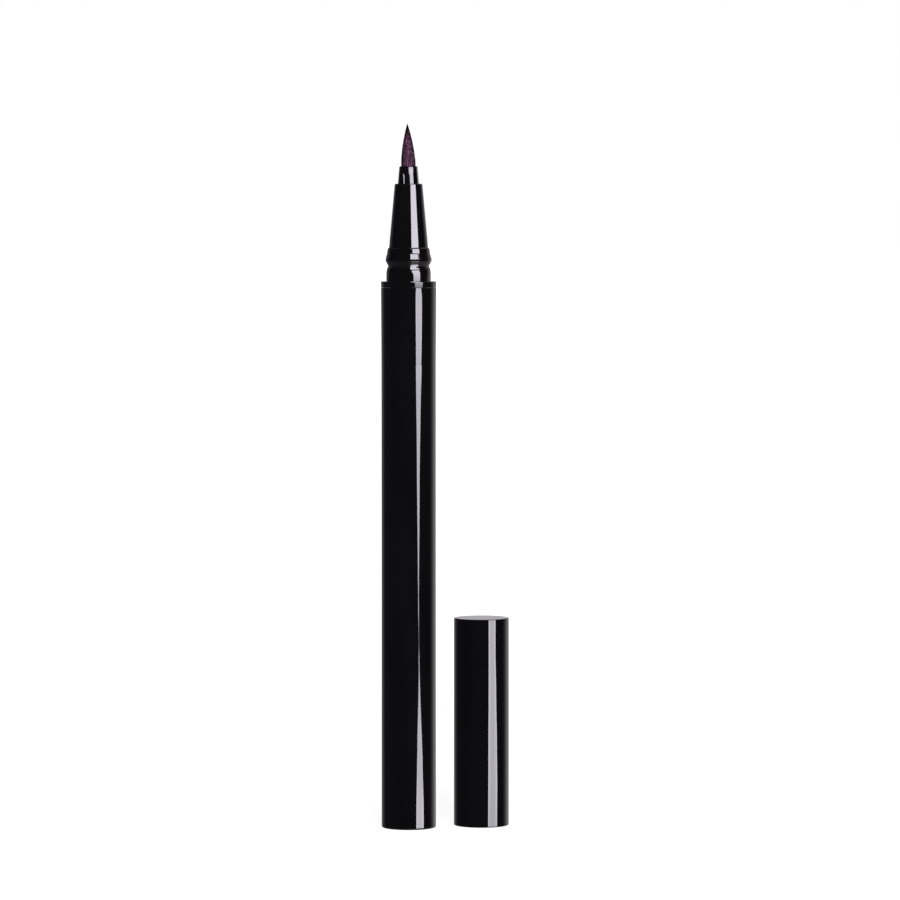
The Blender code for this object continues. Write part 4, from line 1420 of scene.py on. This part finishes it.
@dataclass
class Studio:
    """Pale floor, soft light and the camera of the picture.

    The bands give what the gloss sees round the pen. The turn of a direction is counted from the
    camera's side, positive to the right: a dark room in front, a bright wall behind to the right
    and the pale backdrop behind.
    """

    eye: Point = (7.53 * MM, -964.0 * MM, 119.58 * MM)
    pitch: float = math.radians(3.0026)
    lens: float = 212.0
    sensor: float = 36.0
    floor_half: float = 8.0
    floor_glow: float = 0.72
    far_glow: float = 0.33
    fade: tuple[float, float] = (0.05, 0.60)
    soft_light: float = 0.25
    overhead: float = 0.12
    room_tint: Point = (1.0, 0.95, 1.02)
    lamp_place: Point = (0.12, -1.08, 0.45)
    lamp_aim: Point = (5.0 * MM, 0.0, 70.0 * MM)
    lamp_size: float = 0.6
    lamp_power: float = 10.0
    walls: RoomBand = RoomBand(
        (
            (-180, 0.12), (-165, 0.17), (-152, 0.27), (-138, 0.24), (-128, 0.10), (-120, 0.04),
            (-110, 0.035), (-96, 0.035), (-80, 0.02), (-60, 0.01), (85, 0.008), (95, 0.016),
            (101, 0.034), (106, 0.07), (113, 0.21), (121, 0.39), (130, 0.70), (141, 0.80),
            (152, 0.66), (165, 0.25), (180, 0.12),
        )
    )
    upper_walls: RoomBand = RoomBand(
        (
            (-180, 0.66), (-162, 0.60), (-150, 0.20), (-146, 0.18), (-129, 0.20), (-116, 0.04),
            (-100, 0.01), (100, 0.002), (109, 0.007), (120, 0.26), (135, 0.52), (150, 0.60),
            (160, 0.64), (180, 0.67),
        )
    )
    high_walls: RoomBand = RoomBand(
        (
            (-180, 0.02), (-165, 0.02), (-146, 0.15), (-129, 0.15), (-110, 0.01), (90, 0.01),
            (99, 0.02), (113, 0.12), (123, 0.22), (135, 0.50), (147, 0.60), (160, 0.20),
            (180, 0.02),
        )
    )
    ground: RoomBand = RoomBand(
        (
            (-180, 0.12), (-10, 0.12), (15, 0.32), (35, 0.64), (70, 0.45), (110, 0.40),
            (150, 0.40), (180, 0.13),
        )
    )

    def add_camera(self) -> None:
        """Looks along +Y and a little down, from the height of the brush."""
        data = bpy.data.cameras.new("camera")
        data.lens = self.lens
        data.sensor_width = self.sensor
        data.clip_end = 20.0
        camera = placed("camera", data)
        camera.location = self.eye
        camera.rotation_euler = (math.pi / 2.0 - self.pitch, 0.0, 0.0)
        bpy.context.scene.camera = camera

    def add_floor(self) -> None:
        """Pale paper that keeps the soft shadow, turns white far away and stays out of the gloss."""
        half = self.floor_half
        corners = [(-half, -half, 0.0), (half, -half, 0.0), (half, half, 0.0), (-half, half, 0.0)]
        mesh = bpy.data.meshes.new("studio_floor")
        mesh.from_pydata(corners, [], [(0, 1, 2, 3)])
        made = bpy.data.materials.new("studio_paper")
        made.use_nodes = True
        recipe = Recipe(made.node_tree)
        seen = recipe.node("ShaderNodeLightPath", output="Is Camera Ray")
        place = recipe.node("ShaderNodeTexCoord", output="Object")
        away = recipe.node("ShaderNodeVectorMath", {"operation": "LENGTH"}, {0: place}, "Value")
        tooth = recipe.noise(2.0 * MM, 3.0)
        tone = recipe.mix(tooth, grey(0.79), grey(0.81))
        paper = recipe.node("ShaderNodeBsdfDiffuse", {}, {"Color": tone})
        strength = seen * (self.floor_glow + self.far_glow * away.ease(*self.fade))
        recipe.glowing(paper, strength, grey(1.0))
        mesh.materials.append(made)
        floor = placed("studio_floor", mesh)
        floor.visible_glossy = False

    def add_room(self) -> None:
        """Room round the pen: white for the eye, even and soft for matt surfaces, and the bands."""
        world = bpy.data.worlds.new("studio_room")
        bpy.context.scene.world = world
        world.use_nodes = True
        recipe = Recipe(world.node_tree)
        way = recipe.node("ShaderNodeTexCoord", output="Generated")
        east, north, rise = (
            recipe.node("ShaderNodeSeparateXYZ", {}, {"Vector": way}, axis) for axis in "XYZ"
        )
        turn = east.turn_from(-north) / math.tau + 0.5
        seen = self.walls.shade(recipe, turn)
        for share, shown in (
            (rise.ease(-0.009, 0.044), self.upper_walls.shade(recipe, turn)),
            (rise.ease(0.20, 0.28), self.high_walls.shade(recipe, turn)),
            (rise.ease(0.70, 0.90), grey(self.overhead)),
            ((-rise).ease(0.17, 0.42), self.ground.shade(recipe, turn)),
        ):
            seen = recipe.mix(share, seen, shown)
        tint = {"operation": "MULTIPLY"}
        seen = recipe.node("ShaderNodeVectorMath", tint, {0: seen, 1: self.room_tint})
        glossy = recipe.node("ShaderNodeLightPath", output="Is Glossy Ray")
        direct = recipe.node("ShaderNodeLightPath", output="Is Camera Ray")
        shown = recipe.mix(glossy, grey(self.soft_light), seen)
        shown = recipe.mix(direct, shown, grey(1.0))
        light = recipe.node("ShaderNodeBackground", {}, {"Color": shown, "Strength": 1.0})
        recipe.node("ShaderNodeOutputWorld", {}, {"Surface": light})
        world.cycles.sampling_method = "NONE"

    def add_lamp(self) -> None:
        """Adds a large soft lamp that points at the middle of the pen.

        A lamp shines along its own -Z. Turned by a about X and then by b about Z, that is the
        direction (-sin a sin b, sin a cos b, -cos a).
        """
        data = bpy.data.lights.new("front_lamp", "AREA")
        data.size = self.lamp_size
        data.energy = self.lamp_power
        lamp = placed("front_lamp", data)
        lamp.location = self.lamp_place
        aim = np.array(self.lamp_aim) - np.array(self.lamp_place)
        aim /= np.linalg.norm(aim)
        lamp.rotation_euler = (math.acos(-aim[2]), 0.0, math.atan2(-aim[0], aim[1]))
        lamp.visible_glossy = False
        lamp.visible_camera = False

    def build(self, lit: dict[str, list[Piece]]) -> None:
        """Builds the whole studio.

        Args:
            lit: pieces that the panels light, by sub-assembly.
        """
        self.add_camera()
        self.add_floor()
        self.add_room()
        self.add_lamp()
        for panel in PANELS:
            panel.make(lit[panel.lights])


FINISHES = (
    PolishedMoulding(
        name="gloss_black", deep=colour(0.0035, 0.0033, 0.0040), lifted=colour(0.0048, 0.0045, 0.0054)
    ),
    PlainMoulding(
        name="inner_black",
        base=colour(0.010, 0.010, 0.011),
        cloudy=colour(0.016, 0.016, 0.017),
        roughness=0.35,
    ),
    PlainMoulding(
        name="natural_plastic",
        base=colour(0.60, 0.60, 0.56),
        cloudy=colour(0.68, 0.68, 0.64),
        roughness=0.38,
    ),
    PlainMoulding(name="soft_seal", base=grey(0.27), cloudy=grey(0.32), roughness=0.6),
    PlainMoulding(name="black_rubber", base=grey(0.015), cloudy=grey(0.024), roughness=0.7),
    BondedFibre(),
    BrightSteel(),
    BrushHair(),
)


def clear_leftovers() -> None:
    """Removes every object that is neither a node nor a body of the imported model."""
    packed = list(frame["nodes"].values()) + list(frame["bodies"].values())
    for leftover in [item for item in bpy.data.objects if item not in packed]:
        bpy.data.objects.remove(leftover)


def main() -> None:
    """Dresses every sub-assembly in order, then builds the studio round them."""
    logging.basicConfig(level=logging.INFO, format="%(message)s")
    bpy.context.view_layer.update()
    clear_leftovers()
    bpy.context.scene.view_settings.view_transform = "Standard"
    black, inner, natural, soft, rubber, fibre, steel, hair = (made.material() for made in FINISHES)
    barrel = Barrel().make(black)
    low_ball = MixingBall("ball_low", "mixing_ball_1", Body.FIRST_BALL, (-0.25 * MM, 0.0, 3.45 * MM))
    high_ball = MixingBall("ball_high", "mixing_ball_2", Body.SECOND_BALL, (0.25 * MM, 0.0, 7.469 * MM))
    inside = TailPlug().make(inner)
    inside += SealRing("tail_seal", "tail_plug_o_ring", 4.6 * MM).make(rubber)
    inside += low_ball.make(steel) + high_ball.make(steel)
    inside += SealRing("front_seal", "front_section_o_ring", 97.3 * MM).make(rubber)
    inside += InkFeed().make(fibre, natural)
    front = FrontSection().make(black)
    nozzle = BrushNozzle().make(black)
    Brush().make(hair)
    cap = Cap().make(black, inner)
    inside += InnerCap().make(natural, soft) + CapSpring().make(steel)
    for piece in barrel + cap + inside:
        piece.visible_glossy = False
    collector = frame["nodes"]["collector"]
    collector.data.materials.clear()
    collector.data.materials.append(natural)
    collector.visible_glossy = False
    log.info("collector: kept with %s", natural.name)
    Studio().build({"barrel": barrel, "front": front, "nozzle": nozzle, "cap": cap[:1]})


if __name__ == "__main__":
    main()
